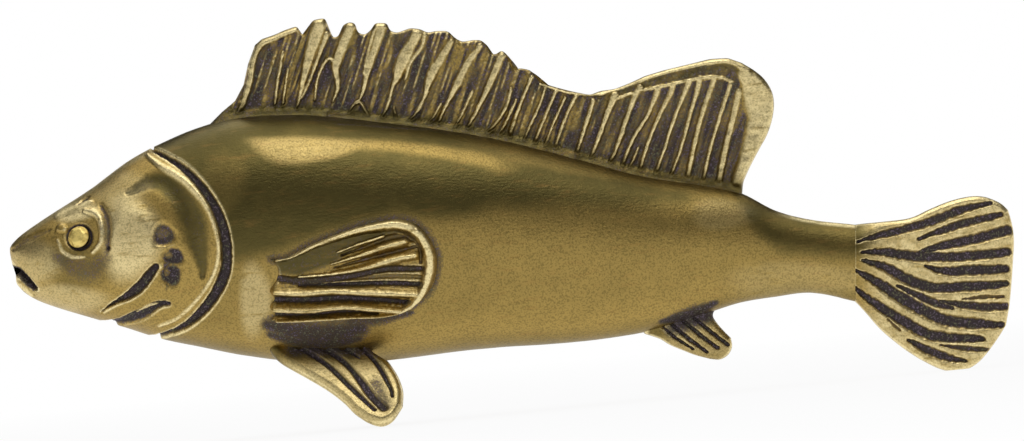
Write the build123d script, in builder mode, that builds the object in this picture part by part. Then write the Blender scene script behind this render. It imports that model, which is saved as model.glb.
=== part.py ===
from build123d import *
from math import cos, hypot, radians, sin, sqrt
import os

os.makedirs("parts", exist_ok=True)

# A free-standing brass fish. Its own frame runs along the body from the snout, up from
# the body's axis and out from the seam; it stands nose up on its pelvic fins and tail.

# Overall sizes
body_length = 107.3
body_depth = 31.6
body_width = 19.5
tail_length = 20.3
tail_height = 22.1
nose_up_angle = 5.6
ground_off = 0.3

# Castings and joints
wall = 2.2
braze_gap = 0.06
overrun = 3.0
dowel_radius = 1.25
dowel_length = 4.0
dowel_clearance = 0.03
dowel_end_clearance = 0.3
cut_depth = 0.6

# Dorsal fin
dorsal_length = 64.3
dorsal_height = 17.3
dorsal_root_thickness = 3.0
dorsal_tip_thickness = 1.7
dorsal_web = 1.1
dorsal_tang_thickness = 1.4
dorsal_tang_depth = 3.0
dorsal_tang_overlap = 0.5
groove_margin = 0.6
spine_groove = 1.3
ray_groove = 1.1
ray_rim = 1.9

# Tail fin
tail_edge_thickness = 1.7
tail_ray_depth = 0.45
tail_tongue_length = 4.6
tail_tongue_height = 4.4
tail_tongue_thickness = 1.6

# Anal fin
anal_length = 11.7
anal_depth = 6.3
anal_thickness = 1.9
anal_web = 1.1
anal_tang_depth = 2.2
anal_tang_overlap = 0.4
anal_groove = 0.55

# Pectoral fins
pectoral_length = 21.1
pectoral_height = 12.2
pectoral_thickness = 1.6
pectoral_ray_depth = 0.7
pectoral_peg_radius = 1.1
pectoral_peg_length = 3.4

# Pelvic fins
pelvic_length = 14.1
pelvic_thickness = 1.9
pelvic_web = 1.1
pelvic_splay_angle = 35.0
pelvic_stance = 8.0
pelvic_tang_depth = 3.2
pelvic_groove = 0.6

# Eyes
eye_radius = 1.4
eye_rise = 0.9
eye_round = 0.55
eye_stem_radius = 0.7
eye_stem_length = 2.6
socket_radius = 2.05
socket_depth = 0.5
lid_width = 0.6
lid_rise = 0.3
flank_step = 0.4

# Mouth
mouth_gape = 0.95
tongue_thickness = 1.5

# Stations of the body from the snout back: place along the body's length, then back,
# belly and widest heights over the axis by the depth, then width.
body_shares = [
    (0.000, 0.016, -0.024, 0.000, 0.05),
    (0.010, 0.050, -0.138, -0.035, 0.22),
    (0.022, 0.082, -0.182, -0.046, 0.345),
    (0.045, 0.135, -0.219, -0.050, 0.50),
    (0.097, 0.249, -0.273, -0.050, 0.72),
    (0.140, 0.357, -0.315, -0.030, 0.82),
    (0.182, 0.434, -0.359, -0.020, 0.89),
    (0.225, 0.494, -0.389, -0.010, 0.94),
    (0.272, 0.535, -0.421, 0.010, 0.98),
    (0.343, 0.546, -0.450, 0.020, 1.00),
    (0.402, 0.531, -0.454, 0.020, 0.99),
    (0.462, 0.508, -0.438, 0.015, 0.96),
    (0.521, 0.482, -0.412, 0.012, 0.93),
    (0.580, 0.446, -0.391, 0.010, 0.88),
    (0.639, 0.398, -0.379, 0.000, 0.81),
    (0.698, 0.345, -0.359, -0.010, 0.73),
    (0.757, 0.296, -0.326, -0.010, 0.63),
    (0.817, 0.264, -0.263, -0.010, 0.53),
    (0.864, 0.230, -0.212, -0.012, 0.44),
    (0.907, 0.157, -0.188, -0.015, 0.36),
    (0.949, 0.121, -0.172, -0.028, 0.30),
    (1.000, 0.102, -0.206, -0.050, 0.27),
]
hollow_end_shares = (0.30, 0.72)
floor_start_share = 0.045

# Places on the body: along its length, and over its axis by the depth
eye_shares = (0.083, 0.052)
dowel_shares = [(0.135, 0.09), (0.215, -0.18), (0.900, -0.02)]
mouth_shares = [(-0.006, -0.040), (0.012, -0.105), (0.024, -0.140), (0.032, -0.156)]
mouth_front_shares = [(-0.010, -0.020), (0.004, -0.078), (0.016, -0.120)]
gill_shares = [(0.166, 0.425), (0.200, 0.345), (0.226, 0.262), (0.247, 0.140), (0.257, 0.000),
               (0.253, -0.130), (0.237, -0.220), (0.208, -0.300), (0.166, -0.342)]
gill_width_share = 0.040
pit_sides = 9
cheek_shares = [(0.113, -0.235), (0.138, -0.195), (0.155, -0.150), (0.174, -0.070)]
cheek_width_share = 0.042
jaw_shares = [(0.113, -0.290), (0.143, -0.272), (0.166, -0.238), (0.190, -0.222)]
jaw_width_share = 0.030
pit_shares = [(0.182, 0.058, 0.036), (0.194, -0.028, 0.030), (0.193, -0.108, 0.036)]

# Dorsal fin: along its length from the front foot, and over the back by its height.
# Each spine has its tip, the notch behind it, and the foot of the groove below that notch.
dorsal_start_share = 0.269
dorsal_lead_shares = [(-0.057, 0.000), (-0.030, 0.060), (-0.004, 0.125), (0.012, 0.230),
                      (0.021, 0.380), (0.038, 0.530), (0.072, 0.600)]
spine_shares = [
    (0.120, 0.655, 0.131, 0.566, 0.090),
    (0.160, 0.713, 0.187, 0.574, 0.144),
    (0.223, 0.706, 0.245, 0.618, 0.213),
    (0.283, 0.735, 0.308, 0.662, 0.263),
    (0.352, 0.720, 0.377, 0.690, 0.326),
    (0.407, 0.720, 0.441, 0.647, 0.381),
    (0.474, 0.684, 0.508, 0.603, 0.451),
    (0.526, 0.650, 0.543, 0.522, 0.492),
    (0.571, 0.562, 0.599, 0.478, 0.549),
]
spine_tip_share = 0.010
dorsal_soft_shares = [(0.599, 0.478), (0.668, 0.489), (0.702, 0.504), (0.796, 0.713),
                      (0.866, 0.846), (0.935, 0.956), (0.972, 1.000), (1.012, 0.975),
                      (1.044, 0.900), (1.060, 0.770), (1.052, 0.590), (1.031, 0.380),
                      (1.008, 0.160), (0.998, -0.020)]
ray_count = 13
ray_foot_shares = (0.592, 0.962)
ray_lean_share = 0.042
ray_top_shares = [(0.60, 0.48), (0.67, 0.49), (0.71, 0.53), (0.80, 0.72), (0.87, 0.85),
                  (0.94, 0.95), (1.02, 0.93)]

# Tail fin: along its length from the stalk, and over the body's axis by its height
tail_shares = [(0.00, 0.149), (0.17, 0.161), (0.34, 0.184), (0.56, 0.270), (0.77, 0.305), (0.95, 0.236),
               (1.00, 0.057), (0.980, -0.230), (0.935, -0.470), (0.79, -0.636), (0.625, -0.702),
               (0.44, -0.644), (0.22, -0.506), (0.00, -0.300)]
tail_ray_shares = [
    (0.035, [(0.05, 0.05), (0.31, 0.12), (0.85, 0.26)]),
    (0.030, [(0.39, 0.06), (0.69, 0.150), (0.91, 0.190)]),
    (0.045, [(0.44, -0.01), (0.75, 0.065), (0.95, 0.11)]),
    (0.045, [(0.06, -0.01), (0.35, -0.025), (0.70, -0.045), (0.95, -0.02)]),
    (0.045, [(0.44, -0.09), (0.75, -0.115), (0.94, -0.11)]),
    (0.045, [(0.06, -0.065), (0.31, -0.155), (0.47, -0.205), (0.95, -0.195)]),
    (0.035, [(0.26, -0.205), (0.59, -0.325), (0.93, -0.31)]),
    (0.050, [(0.05, -0.13), (0.28, -0.27), (0.59, -0.405), (0.91, -0.415)]),
    (0.045, [(0.05, -0.225), (0.34, -0.42), (0.50, -0.485), (0.78, -0.505)]),
    (0.035, [(0.22, -0.43), (0.47, -0.565), (0.67, -0.62)]),
]
tail_swell_shares = [(0.12, 0.66), (0.34, 0.30)]
tail_spread_share = 8.0

# Anal fin: along its length, and below the belly by its depth
anal_start_share = 0.746
anal_shares = [(0.00, -0.05), (0.22, 0.22), (0.46, 0.59), (0.74, 0.95), (0.89, 1.00),
               (0.99, 0.88), (0.98, 0.68), (0.89, 0.45), (0.81, 0.22), (0.78, -0.05)]
anal_ray_shares = [[(0.34, 0.20), (0.56, 0.52), (0.74, 0.82)], [(0.48, 0.14), (0.68, 0.48), (0.85, 0.80)],
                   [(0.62, 0.12), (0.77, 0.42), (0.92, 0.72)]]

# Pectoral fins: along their length from the root, and over their own axis by their height
pectoral_place_shares = (0.310, -0.080)
pectoral_shares = [(0.00, 0.135), (0.12, 0.165), (0.29, 0.310), (0.53, 0.437), (0.77, 0.490),
                   (0.94, 0.365), (1.00, 0.083), (0.95, -0.230), (0.80, -0.427),
                   (0.50, -0.490), (0.17, -0.510), (0.00, -0.500)]
pectoral_ray_shares = [
    (0.110, [(0.03, -0.115), (0.20, -0.135), (0.55, -0.115), (0.90, -0.115)]),
    (0.070, [(0.04, -0.290), (0.44, -0.310), (0.87, -0.300)]),
    (0.045, [(0.05, -0.430), (0.35, -0.425), (0.68, -0.400)]),
    (0.060, [(0.35, -0.060), (0.60, 0.020), (0.90, 0.060)]),
    (0.050, [(0.36, 0.040), (0.55, 0.115), (0.82, 0.200)]),
    (0.070, [(0.42, 0.150), (0.64, 0.240), (0.86, 0.320)]),
]
pectoral_peg_shares = (0.16, -0.02)
pectoral_span_shares = (0.26, 0.58)

# Pelvic fins: along their length from the front of the root, and down from the root by
# their reach to the ground
pelvic_place_share = 0.335
pelvic_shares = [(-0.20, 0.00), (-0.11, 0.14), (0.00, 0.24), (0.16, 0.375), (0.32, 0.52),
                 (0.56, 0.83), (0.73, 0.98), (0.80, 1.00), (0.90, 0.945), (1.00, 0.70),
                 (0.955, 0.39), (0.84, 0.14), (0.66, 0.00)]
pelvic_low_share = 0.80
pelvic_tang_shares = (0.10, 0.58)
pelvic_ray_shares = [[(0.10, 0.10), (0.33, 0.30), (0.50, 0.52), (0.74, 0.86)],
                     [(0.27, 0.08), (0.51, 0.26), (0.68, 0.52), (0.84, 0.72)],
                     [(0.50, 0.07), (0.72, 0.28), (0.88, 0.58)]]

pitch = radians(nose_up_angle)
splay = radians(pelvic_splay_angle)
along = Vector(cos(pitch), 0, -sin(pitch))
upward = Vector(sin(pitch), 0, cos(pitch))


def between(table, share):
    """Smooth value of each column of a table at a share along its first column."""
    last = len(table) - 1
    k = max(j for j in range(last) if j == 0 or table[j][0] <= share)
    before, low, high, after = (table[min(max(j, 0), last)] for j in (k - 1, k, k + 1, k + 2))
    span = high[0] - low[0]
    t = (share - low[0]) / span
    values = []
    for column in range(1, len(low)):
        slope_low = (high[column] - before[column]) / (high[0] - before[0]) * span
        slope_high = (after[column] - low[column]) / (after[0] - low[0]) * span
        rise = high[column] - low[column]
        curve = slope_low * t * (1 - t) ** 2 - slope_high * t**2 * (1 - t)
        values.append(low[column] + rise * t**2 * (3 - 2 * t) + curve)
    return values


def heights(x):
    """Back, belly, widest height and half width of the body at a place along it."""
    back, belly, widest, width = between(body_shares, x / body_length)
    return back * body_depth, belly * body_depth, widest * body_depth, width * body_width / 2


def on_body(shares):
    return shares[0] * body_length, shares[1] * body_depth


def flank(x, z):
    """Distance of the skin from the seam at a place on the side of the body."""
    back, belly, widest, half = heights(x)
    reach = back - widest if z > widest else widest - belly
    return half * sqrt(1 - ((z - widest) / reach) ** 2)


def lens(points, width):
    """Corners of a hollow that follows a row of points and closes to a tip at both ends."""
    upper = []
    lower = []
    for start, here, end in zip(points, points[1:], points[2:]):
        run = hypot(end[0] - start[0], end[1] - start[1])
        out_x = -(end[1] - start[1]) / run * width / 2
        out_z = (end[0] - start[0]) / run * width / 2
        upper.append((here[0] + out_x, here[1] + out_z))
        lower.append((here[0] - out_x, here[1] - out_z))
    return [points[0], *upper], [points[-1], *reversed(lower)]


def straight_lens(foot, tip, width):
    """Corners of a straight hollow with a short taper at both ends."""
    taper_share = 0.12
    near = [a + (b - a) * taper_share for a, b in zip(foot, tip)]
    far = [b + (a - b) * taper_share for a, b in zip(foot, tip)]
    return lens([foot, near, far, tip], width)


def face_of_lens(corners):
    upper, lower = corners
    Polyline(*upper, *lower, close=True)


def round_lens(corners):
    upper, lower = corners
    Spline(*upper, lower[0])
    Spline(*lower, upper[0])


# Where the fish stands: the tail's lower lobe comes down to the ground
with BuildLine(Plane(origin=(0, 0, 0), x_dir=along, z_dir=(0, -1, 0))) as tail_reach:
    Spline(*[(body_length + u * tail_length, v * tail_height) for u, v in tail_shares])
tail_low = tail_reach.line.bounding_box().min.Z
snout = Vector(-(body_length + tail_length) * cos(pitch) / 2, 0, -tail_low - ground_off)


def place(x, z, y=0):
    """Point in the model's frame of a place in the fish's own frame."""
    return snout + along * x + upward * z + Vector(0, y, 0)


def station(x):
    """Plane across the body, with its own x to the fish's right and y upward."""
    return Plane(origin=place(x, 0), x_dir=(0, 1, 0), z_dir=along)


def flank_plane(x, z):
    """Plane that lies on the left flank, facing outward."""
    before, after = (place(x + step, z, -flank(x + step, z)) for step in (-flank_step, flank_step))
    below, above = (place(x, z + step, -flank(x, z + step)) for step in (-flank_step, flank_step))
    lengthwise = after - before
    crosswise = above - below
    return Plane(origin=place(x, z, -flank(x, z)), x_dir=lengthwise, z_dir=lengthwise.cross(crosswise))


side = Plane(origin=snout, x_dir=along, z_dir=(0, -1, 0))


def body_skin(outset, start_share=0, end_share=1):
    """Closed body form, moved out from the skin by the outset, or in where it is negative."""
    inner = [row[0] for row in body_shares if start_share < row[0] < end_share]
    with BuildPart() as skin:
        for share in (start_share, *inner, end_share):
            back, belly, widest, half = heights(share * body_length)
            with BuildSketch(station(share * body_length)):
                with BuildLine():
                    middle = (0, widest)
                    across = half + outset
                    EllipticalCenterArc(middle, across, back - widest + outset, arc_size=180)
                    EllipticalCenterArc(middle, across, widest - belly + outset, 180, arc_size=180)
                make_face()
        loft()
    return skin.part


casting_skin = body_skin(0)
clear_skin = body_skin(braze_gap)
cut_floor = body_skin(-cut_depth, floor_start_share)

# Slots, pits and bores that both halves share the form of
with BuildPart() as head_cuts:
    for shares, width_share in ((gill_shares, gill_width_share), (cheek_shares, cheek_width_share),
                                (jaw_shares, jaw_width_share)):
        with BuildSketch(side):
            with BuildLine():
                row = [on_body(place_shares) for place_shares in shares]
                round_lens(lens(row, width_share * body_depth))
            make_face()
        extrude(amount=body_width)
    for x_share, z_share, radius_share in pit_shares:
        with BuildSketch(side):
            with Locations(on_body((x_share, z_share))):
                RegularPolygon(radius_share * body_depth, pit_sides)
        extrude(amount=body_width)
    add(cut_floor, mode=Mode.SUBTRACT)

with BuildPart() as mouth_cut:
    with BuildSketch(side.offset(tongue_thickness / 2)):
        with BuildLine():
            round_lens(lens([on_body(place_shares) for place_shares in mouth_shares], mouth_gape))
        make_face()
    extrude(amount=body_width)
    with BuildSketch(side):
        with BuildLine():
            round_lens(lens([on_body(place_shares) for place_shares in mouth_front_shares], mouth_gape))
        make_face()
    extrude(amount=body_width)

with BuildPart() as dowel_bores:
    for shares in dowel_shares:
        with BuildSketch(side):
            with Locations(on_body(shares)):
                Circle(dowel_radius + dowel_clearance)
        extrude(amount=dowel_length / 2 + dowel_end_clearance)

# Tangs and slots in the seam


def dorsal_point(u, v):
    x = dorsal_start_share * body_length + u * dorsal_length
    return x, heights(x)[0] + v * dorsal_height


def dorsal_foot(depth, clearance):
    """Corners of the tang that runs under the back, from the front foot to the rear one."""
    steps = 6
    start_share = dorsal_lead_shares[1][0]
    run_share = dorsal_soft_shares[-1][0] - start_share
    bottom = [dorsal_point(start_share + run_share * k / steps, 0) for k in range(steps + 1)]
    bottom[0] = (bottom[0][0] - clearance, bottom[0][1])
    bottom[-1] = (bottom[-1][0] + clearance, bottom[-1][1])
    return [(x, z - depth - clearance) for x, z in bottom]


def anal_point(u, v):
    x = anal_start_share * body_length + u * anal_length
    return x, heights(x)[1] - v * anal_depth


def anal_foot(depth, clearance):
    ends = [anal_point(u, 0) for u in (anal_shares[1][0], anal_shares[-1][0])]
    low = [(ends[0][0] - clearance, ends[0][1]), (ends[1][0] + clearance, ends[1][1])]
    return [(x, z + depth + clearance) for x, z in low]


def seam_slot(foot, past):
    """Outline of a slot from a tang's foot out past the skin."""
    (start_x, start_z), (end_x, end_z) = foot[0], foot[-1]
    Polyline(*foot, (end_x, end_z + past), (start_x, start_z + past), close=True)


with BuildPart() as seam_slots:
    with BuildSketch(side):
        with BuildLine():
            seam_slot(dorsal_foot(dorsal_tang_depth, braze_gap), body_depth)
        make_face()
    extrude(amount=dorsal_tang_thickness / 2 + braze_gap, both=True)
    with BuildSketch(side):
        with BuildLine():
            seam_slot(anal_foot(anal_tang_depth, braze_gap), -body_depth)
        make_face()
    extrude(amount=anal_web / 2 + braze_gap, both=True)
    with BuildSketch(side):
        with Locations((body_length, heights(body_length)[2])):
            Rectangle(2 * (tail_tongue_length + braze_gap), tail_tongue_height + 2 * braze_gap)
    extrude(amount=tail_tongue_thickness / 2 + braze_gap, both=True)

# Pelvic fins: root, plane and reach to the ground
pelvic_x = pelvic_place_share * body_length
_, pelvic_belly, pelvic_widest, pelvic_half = heights(pelvic_x)
pelvic_drop = (pelvic_widest - pelvic_belly) * sqrt(1 - (pelvic_stance / 2 / pelvic_half) ** 2)
pelvic_root_z = pelvic_widest - pelvic_drop
pelvic_root = place(pelvic_x, pelvic_root_z, -pelvic_stance / 2)
pelvic_up = upward * cos(splay) + Vector(0, sin(splay), 0)
pelvic_plane = Plane(origin=pelvic_root, x_dir=along, z_dir=along.cross(pelvic_up))
low_edge = pelvic_thickness / 2 * abs(pelvic_plane.z_dir.Z)
pelvic_low = pelvic_root.Z - pelvic_low_share * pelvic_length * sin(pitch)
pelvic_reach = (pelvic_low - low_edge + ground_off) / pelvic_up.Z


def pelvic_point(u, v):
    return u * pelvic_length, -v * pelvic_reach


with BuildPart() as pelvic_slot:
    with BuildSketch(pelvic_plane):
        with BuildLine():
            start, end = (share * pelvic_length for share in pelvic_tang_shares)
            Polyline((start - braze_gap, -overrun), (end + braze_gap, -overrun),
                     (end + braze_gap, pelvic_tang_depth + braze_gap),
                     (start - braze_gap, pelvic_tang_depth + braze_gap), close=True)
        make_face()
    extrude(amount=pelvic_web / 2 + braze_gap, both=True)

# Eye axis and socket
eye_plane = flank_plane(*on_body(eye_shares))
eye_axis = Axis(eye_plane.origin, eye_plane.z_dir)
eye_profile = Plane(origin=eye_plane.origin, x_dir=eye_plane.x_dir, z_dir=-eye_plane.y_dir)

# Pectoral peg
pectoral_x = pectoral_place_shares[0] * body_length
pectoral_z = pectoral_place_shares[1] * body_depth


def pectoral_point(u, v):
    return pectoral_x + u * pectoral_length, pectoral_z + v * pectoral_height


peg_plane = flank_plane(*pectoral_point(*pectoral_peg_shares))

with BuildPart() as left_half:
    add(casting_skin)
    add(body_skin(-wall, *hollow_end_shares), mode=Mode.SUBTRACT)
    split(bisect_by=Plane.XZ, keep=Keep.TOP)
    with BuildSketch(eye_plane.offset(-socket_depth)):
        Circle(socket_radius + lid_width)
    extrude(amount=socket_depth + lid_rise)
    with BuildSketch(eye_plane.offset(-socket_depth)):
        Circle(socket_radius)
    extrude(amount=overrun, mode=Mode.SUBTRACT)
    with BuildSketch(eye_plane.offset(-socket_depth)):
        Circle(eye_stem_radius + dowel_clearance)
    extrude(amount=-eye_stem_length - dowel_end_clearance, mode=Mode.SUBTRACT)
    with BuildSketch(peg_plane.offset(overrun)):
        Circle(pectoral_peg_radius + dowel_clearance)
    extrude(amount=-overrun - pectoral_peg_length, mode=Mode.SUBTRACT)
    add(head_cuts.part, mode=Mode.SUBTRACT)
    add(mouth_cut.part, mode=Mode.SUBTRACT)
    add(dowel_bores.part, mode=Mode.SUBTRACT)
    add(seam_slots.part, mode=Mode.SUBTRACT)
    add(pelvic_slot.part, mode=Mode.SUBTRACT)
left_half.part.label = "left_half"
export_step(left_half.part, "parts/left_half.step")

with BuildPart() as right_half:
    mirror(left_half.part, about=Plane.XZ)
right_half.part.label = "right_half"
export_step(right_half.part, "parts/right_half.step")

with BuildPart() as register_dowels:
    for shares in dowel_shares:
        with BuildSketch(side):
            with Locations(on_body(shares)):
                Circle(dowel_radius)
        extrude(amount=dowel_length / 2, both=True)
register_dowels.part.label = "register_dowels"
export_step(register_dowels.part, "parts/register_dowels.step")

# Dorsal fin: a thin web inside thick rays, with a tang under the back


def dorsal_face():
    """The fin's whole side face, down to under the back where the body cuts it off."""
    corners = []
    for tip_u, tip_v, notch_u, notch_v, _ in spine_shares:
        corners.append(dorsal_point(tip_u - spine_tip_share, tip_v - spine_tip_share))
        corners.append(dorsal_point(tip_u + spine_tip_share, tip_v))
        corners.append(dorsal_point(notch_u, notch_v))
    with BuildSketch() as face:
        with BuildLine():
            Spline(*[dorsal_point(u, v) for u, v in dorsal_lead_shares], corners[0])
            Polyline(*corners)
            Spline(*[dorsal_point(u, v) for u, v in dorsal_soft_shares])
            under = reversed(dorsal_foot(dorsal_tang_depth / 2, 0))
            Polyline(dorsal_point(*dorsal_soft_shares[-1]), *under, dorsal_point(*dorsal_lead_shares[0]))
        make_face()
    return face.sketch


def dorsal_grooves():
    """The hollows between the spines, then those between the soft rays."""
    hollows = []
    for _, _, notch_u, notch_v, foot_u in spine_shares:
        foot_x, foot_z = dorsal_point(foot_u, 0)
        notch_x, notch_z = dorsal_point(notch_u, notch_v)
        foot, top = (foot_x, foot_z + groove_margin), (notch_x, notch_z - groove_margin)
        hollows.append(straight_lens(foot, top, spine_groove))
    for k in range(ray_count):
        foot_u = ray_foot_shares[0] + (ray_foot_shares[1] - ray_foot_shares[0]) * k / (ray_count - 1)
        top_u = foot_u + ray_lean_share
        foot_x, foot_z = dorsal_point(foot_u, 0)
        top_x, top_z = dorsal_point(top_u, between(ray_top_shares, top_u)[0])
        foot, top = (foot_x, foot_z + groove_margin), (top_x, top_z - ray_rim)
        hollows.append(straight_lens(foot, top, ray_groove))
    return hollows


with BuildPart() as dorsal_taper:
    for u in (dorsal_lead_shares[0][0], dorsal_soft_shares[-5][0]):
        x = dorsal_point(u, 0)[0]
        root_z, top_z = heights(dorsal_point(min(u, 1), 0)[0])[0], dorsal_point(u, 1)[1]
        with BuildSketch(station(x)):
            with BuildLine():
                root, tip = dorsal_root_thickness / 2, dorsal_tip_thickness / 2
                low_z = root_z - dorsal_tang_depth
                Polyline((-root, low_z), (root, low_z), (root, root_z), (tip, top_z), (-tip, top_z),
                         (-root, root_z), close=True)
            make_face()
    loft(ruled=True)

with BuildPart() as dorsal_fin:
    with BuildSketch(side):
        add(dorsal_face())
        for hollow in dorsal_grooves():
            with BuildLine():
                face_of_lens(hollow)
            make_face(mode=Mode.SUBTRACT)
    extrude(amount=dorsal_root_thickness, both=True)
    add(dorsal_taper.part, mode=Mode.INTERSECT)
    with BuildSketch(side):
        add(dorsal_face())
    extrude(amount=dorsal_web / 2, both=True)
    add(clear_skin, mode=Mode.SUBTRACT)
    with BuildSketch(side):
        with BuildLine():
            over = reversed(dorsal_foot(-dorsal_tang_overlap, 0))
            Polyline(*dorsal_foot(dorsal_tang_depth, 0), *over, close=True)
        make_face()
    extrude(amount=dorsal_tang_thickness / 2, both=True)
dorsal_fin.part.label = "dorsal_fin"
export_step(dorsal_fin.part, "parts/dorsal_fin.step")

# Tail fin: swells at its root to meet the stalk, with a tongue that goes into it
plan = Plane(origin=place(0, 0), x_dir=along, z_dir=upward)
stalk_back, stalk_belly, stalk_middle, stalk_half = heights(body_length)


def tail_point(u, v):
    return body_length + u * tail_length, v * tail_height


def tail_plan(inset):
    """Half thicknesses of the tail seen from above, thick at the stalk and thin at the edge."""
    edge = tail_edge_thickness / 2
    swell = [(body_length + u * tail_length, edge + (stalk_half - edge) * v) for u, v in tail_swell_shares]
    row = [(body_length, stalk_half), *swell, (body_length + tail_length, edge)]
    right = [(x, half - inset) for x, half in row]
    return [*right, *[(x, -half) for x, half in reversed(right)]]


def tail_face():
    with BuildSketch() as face:
        with BuildLine():
            Spline(*[tail_point(u, v) for u, v in tail_shares])
            Line(tail_point(*tail_shares[-1]), tail_point(*tail_shares[0]))
        make_face()
    return face.sketch


with BuildPart() as tail_round:
    for x, spread in ((body_length, 1), (body_length + tail_length, tail_spread_share)):
        with BuildSketch(station(x)):
            with BuildLine():
                middle = (0, stalk_middle)
                across = stalk_half * spread
                EllipticalCenterArc(middle, across, (stalk_back - stalk_middle) * spread, arc_size=180)
                EllipticalCenterArc(middle, across, (stalk_middle - stalk_belly) * spread, 180, arc_size=180)
            make_face()
    loft(ruled=True)

with BuildPart() as tail_core:
    with BuildSketch(plan):
        with BuildLine():
            Polyline(*tail_plan(tail_ray_depth), close=True)
        make_face()
    extrude(amount=tail_height, both=True)

with BuildPart() as tail_body:
    with BuildSketch(plan):
        with BuildLine():
            Polyline(*tail_plan(0), close=True)
        make_face()
    extrude(amount=tail_height, both=True)
    add(tail_round.part, mode=Mode.INTERSECT)

with BuildPart() as tail_grooves:
    with BuildSketch(side):
        for width_share, row in tail_ray_shares:
            with BuildLine():
                face_of_lens(lens([tail_point(u, v) for u, v in row], width_share * tail_height))
            make_face()
    extrude(amount=body_width, both=True)
    add(tail_core.part, mode=Mode.SUBTRACT)

with BuildPart() as tail_fin:
    with BuildSketch(side):
        add(tail_face())
    extrude(amount=body_width, both=True)
    add(tail_body.part, mode=Mode.INTERSECT)
    add(tail_grooves.part, mode=Mode.SUBTRACT)
    split(bisect_by=Plane(origin=place(body_length + braze_gap, 0), z_dir=along), keep=Keep.TOP)
    with BuildSketch(side):
        with Locations((body_length, stalk_middle)):
            Rectangle(2 * tail_tongue_length, tail_tongue_height)
    extrude(amount=tail_tongue_thickness / 2, both=True)
    split(bisect_by=Plane.XY, keep=Keep.TOP)
tail_fin.part.label = "tail_fin"
export_step(tail_fin.part, "parts/tail_fin.step")


# Anal fin


def anal_face():
    with BuildSketch() as face:
        with BuildLine():
            Spline(*[anal_point(u, v) for u, v in anal_shares])
            Line(anal_point(*anal_shares[-1]), anal_point(*anal_shares[0]))
        make_face()
    return face.sketch


with BuildPart() as anal_fin:
    with BuildSketch(side):
        add(anal_face())
        for row in anal_ray_shares:
            with BuildLine():
                face_of_lens(lens([anal_point(u, v) for u, v in row], anal_groove))
            make_face(mode=Mode.SUBTRACT)
    extrude(amount=anal_thickness / 2, both=True)
    with BuildSketch(side):
        add(anal_face())
    extrude(amount=anal_web / 2, both=True)
    add(clear_skin, mode=Mode.SUBTRACT)
    with BuildSketch(side):
        with BuildLine():
            over = reversed(anal_foot(-anal_tang_overlap, 0))
            Polyline(*anal_foot(anal_tang_depth, 0), *over, close=True)
        make_face()
    extrude(amount=anal_web / 2, both=True)
anal_fin.part.label = "anal_fin"
export_step(anal_fin.part, "parts/anal_fin.step")

# Pectoral fins: a plate that lies along the flank, rays cut into its outer face
pectoral_skin = body_skin(braze_gap + pectoral_thickness, *pectoral_span_shares)
pectoral_floor = body_skin(braze_gap + pectoral_thickness - pectoral_ray_depth, *pectoral_span_shares)

with BuildPart() as pectoral_grooves:
    for width_share, row in pectoral_ray_shares:
        with BuildSketch(side):
            with BuildLine():
                round_lens(lens([pectoral_point(u, v) for u, v in row], width_share * pectoral_height))
            make_face()
        extrude(amount=body_width)
    add(pectoral_floor, mode=Mode.SUBTRACT)

with BuildPart() as left_pectoral_fin:
    with BuildSketch(side):
        with BuildLine():
            Spline(*[pectoral_point(u, v) for u, v in pectoral_shares])
            Line(pectoral_point(*pectoral_shares[-1]), pectoral_point(*pectoral_shares[0]))
        make_face()
    extrude(amount=body_width)
    add(pectoral_skin, mode=Mode.INTERSECT)
    add(clear_skin, mode=Mode.SUBTRACT)
    add(pectoral_grooves.part, mode=Mode.SUBTRACT)
    with BuildSketch(peg_plane.offset(pectoral_thickness / 2)):
        Circle(pectoral_peg_radius)
    extrude(amount=-pectoral_thickness / 2 - pectoral_peg_length)
left_pectoral_fin.part.label = "left_pectoral_fin"
export_step(left_pectoral_fin.part, "parts/left_pectoral_fin.step")

with BuildPart() as right_pectoral_fin:
    mirror(left_pectoral_fin.part, about=Plane.XZ)
right_pectoral_fin.part.label = "right_pectoral_fin"
export_step(right_pectoral_fin.part, "parts/right_pectoral_fin.step")

# Pelvic fins: splayed plates that stand on the ground


def pelvic_face():
    with BuildSketch() as face:
        with BuildLine():
            Spline(*[pelvic_point(u, v) for u, v in pelvic_shares])
            start_x, start_z = pelvic_point(*pelvic_shares[0])
            end_x, end_z = pelvic_point(*pelvic_shares[-1])
            Polyline((end_x, end_z), (end_x, end_z + pelvic_web), (start_x, start_z + pelvic_web),
                     (start_x, start_z))
        make_face()
    return face.sketch


with BuildPart() as left_pelvic_fin:
    with BuildSketch(pelvic_plane):
        add(pelvic_face())
        for row in pelvic_ray_shares:
            with BuildLine():
                face_of_lens(lens([pelvic_point(u, v) for u, v in row], pelvic_groove))
            make_face(mode=Mode.SUBTRACT)
    extrude(amount=pelvic_thickness / 2, both=True)
    with BuildSketch(pelvic_plane):
        add(pelvic_face())
    extrude(amount=pelvic_web / 2, both=True)
    add(clear_skin, mode=Mode.SUBTRACT)
    with BuildSketch(pelvic_plane):
        with BuildLine():
            start, end = (share * pelvic_length for share in pelvic_tang_shares)
            Polyline((start, -pelvic_web), (end, -pelvic_web), (end, pelvic_tang_depth),
                     (start, pelvic_tang_depth), close=True)
        make_face()
    extrude(amount=pelvic_web / 2, both=True)
    split(bisect_by=Plane.XY, keep=Keep.TOP)
left_pelvic_fin.part.label = "left_pelvic_fin"
export_step(left_pelvic_fin.part, "parts/left_pelvic_fin.step")

with BuildPart() as right_pelvic_fin:
    mirror(left_pelvic_fin.part, about=Plane.XZ)
right_pelvic_fin.part.label = "right_pelvic_fin"
export_step(right_pelvic_fin.part, "parts/right_pelvic_fin.step")

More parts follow.
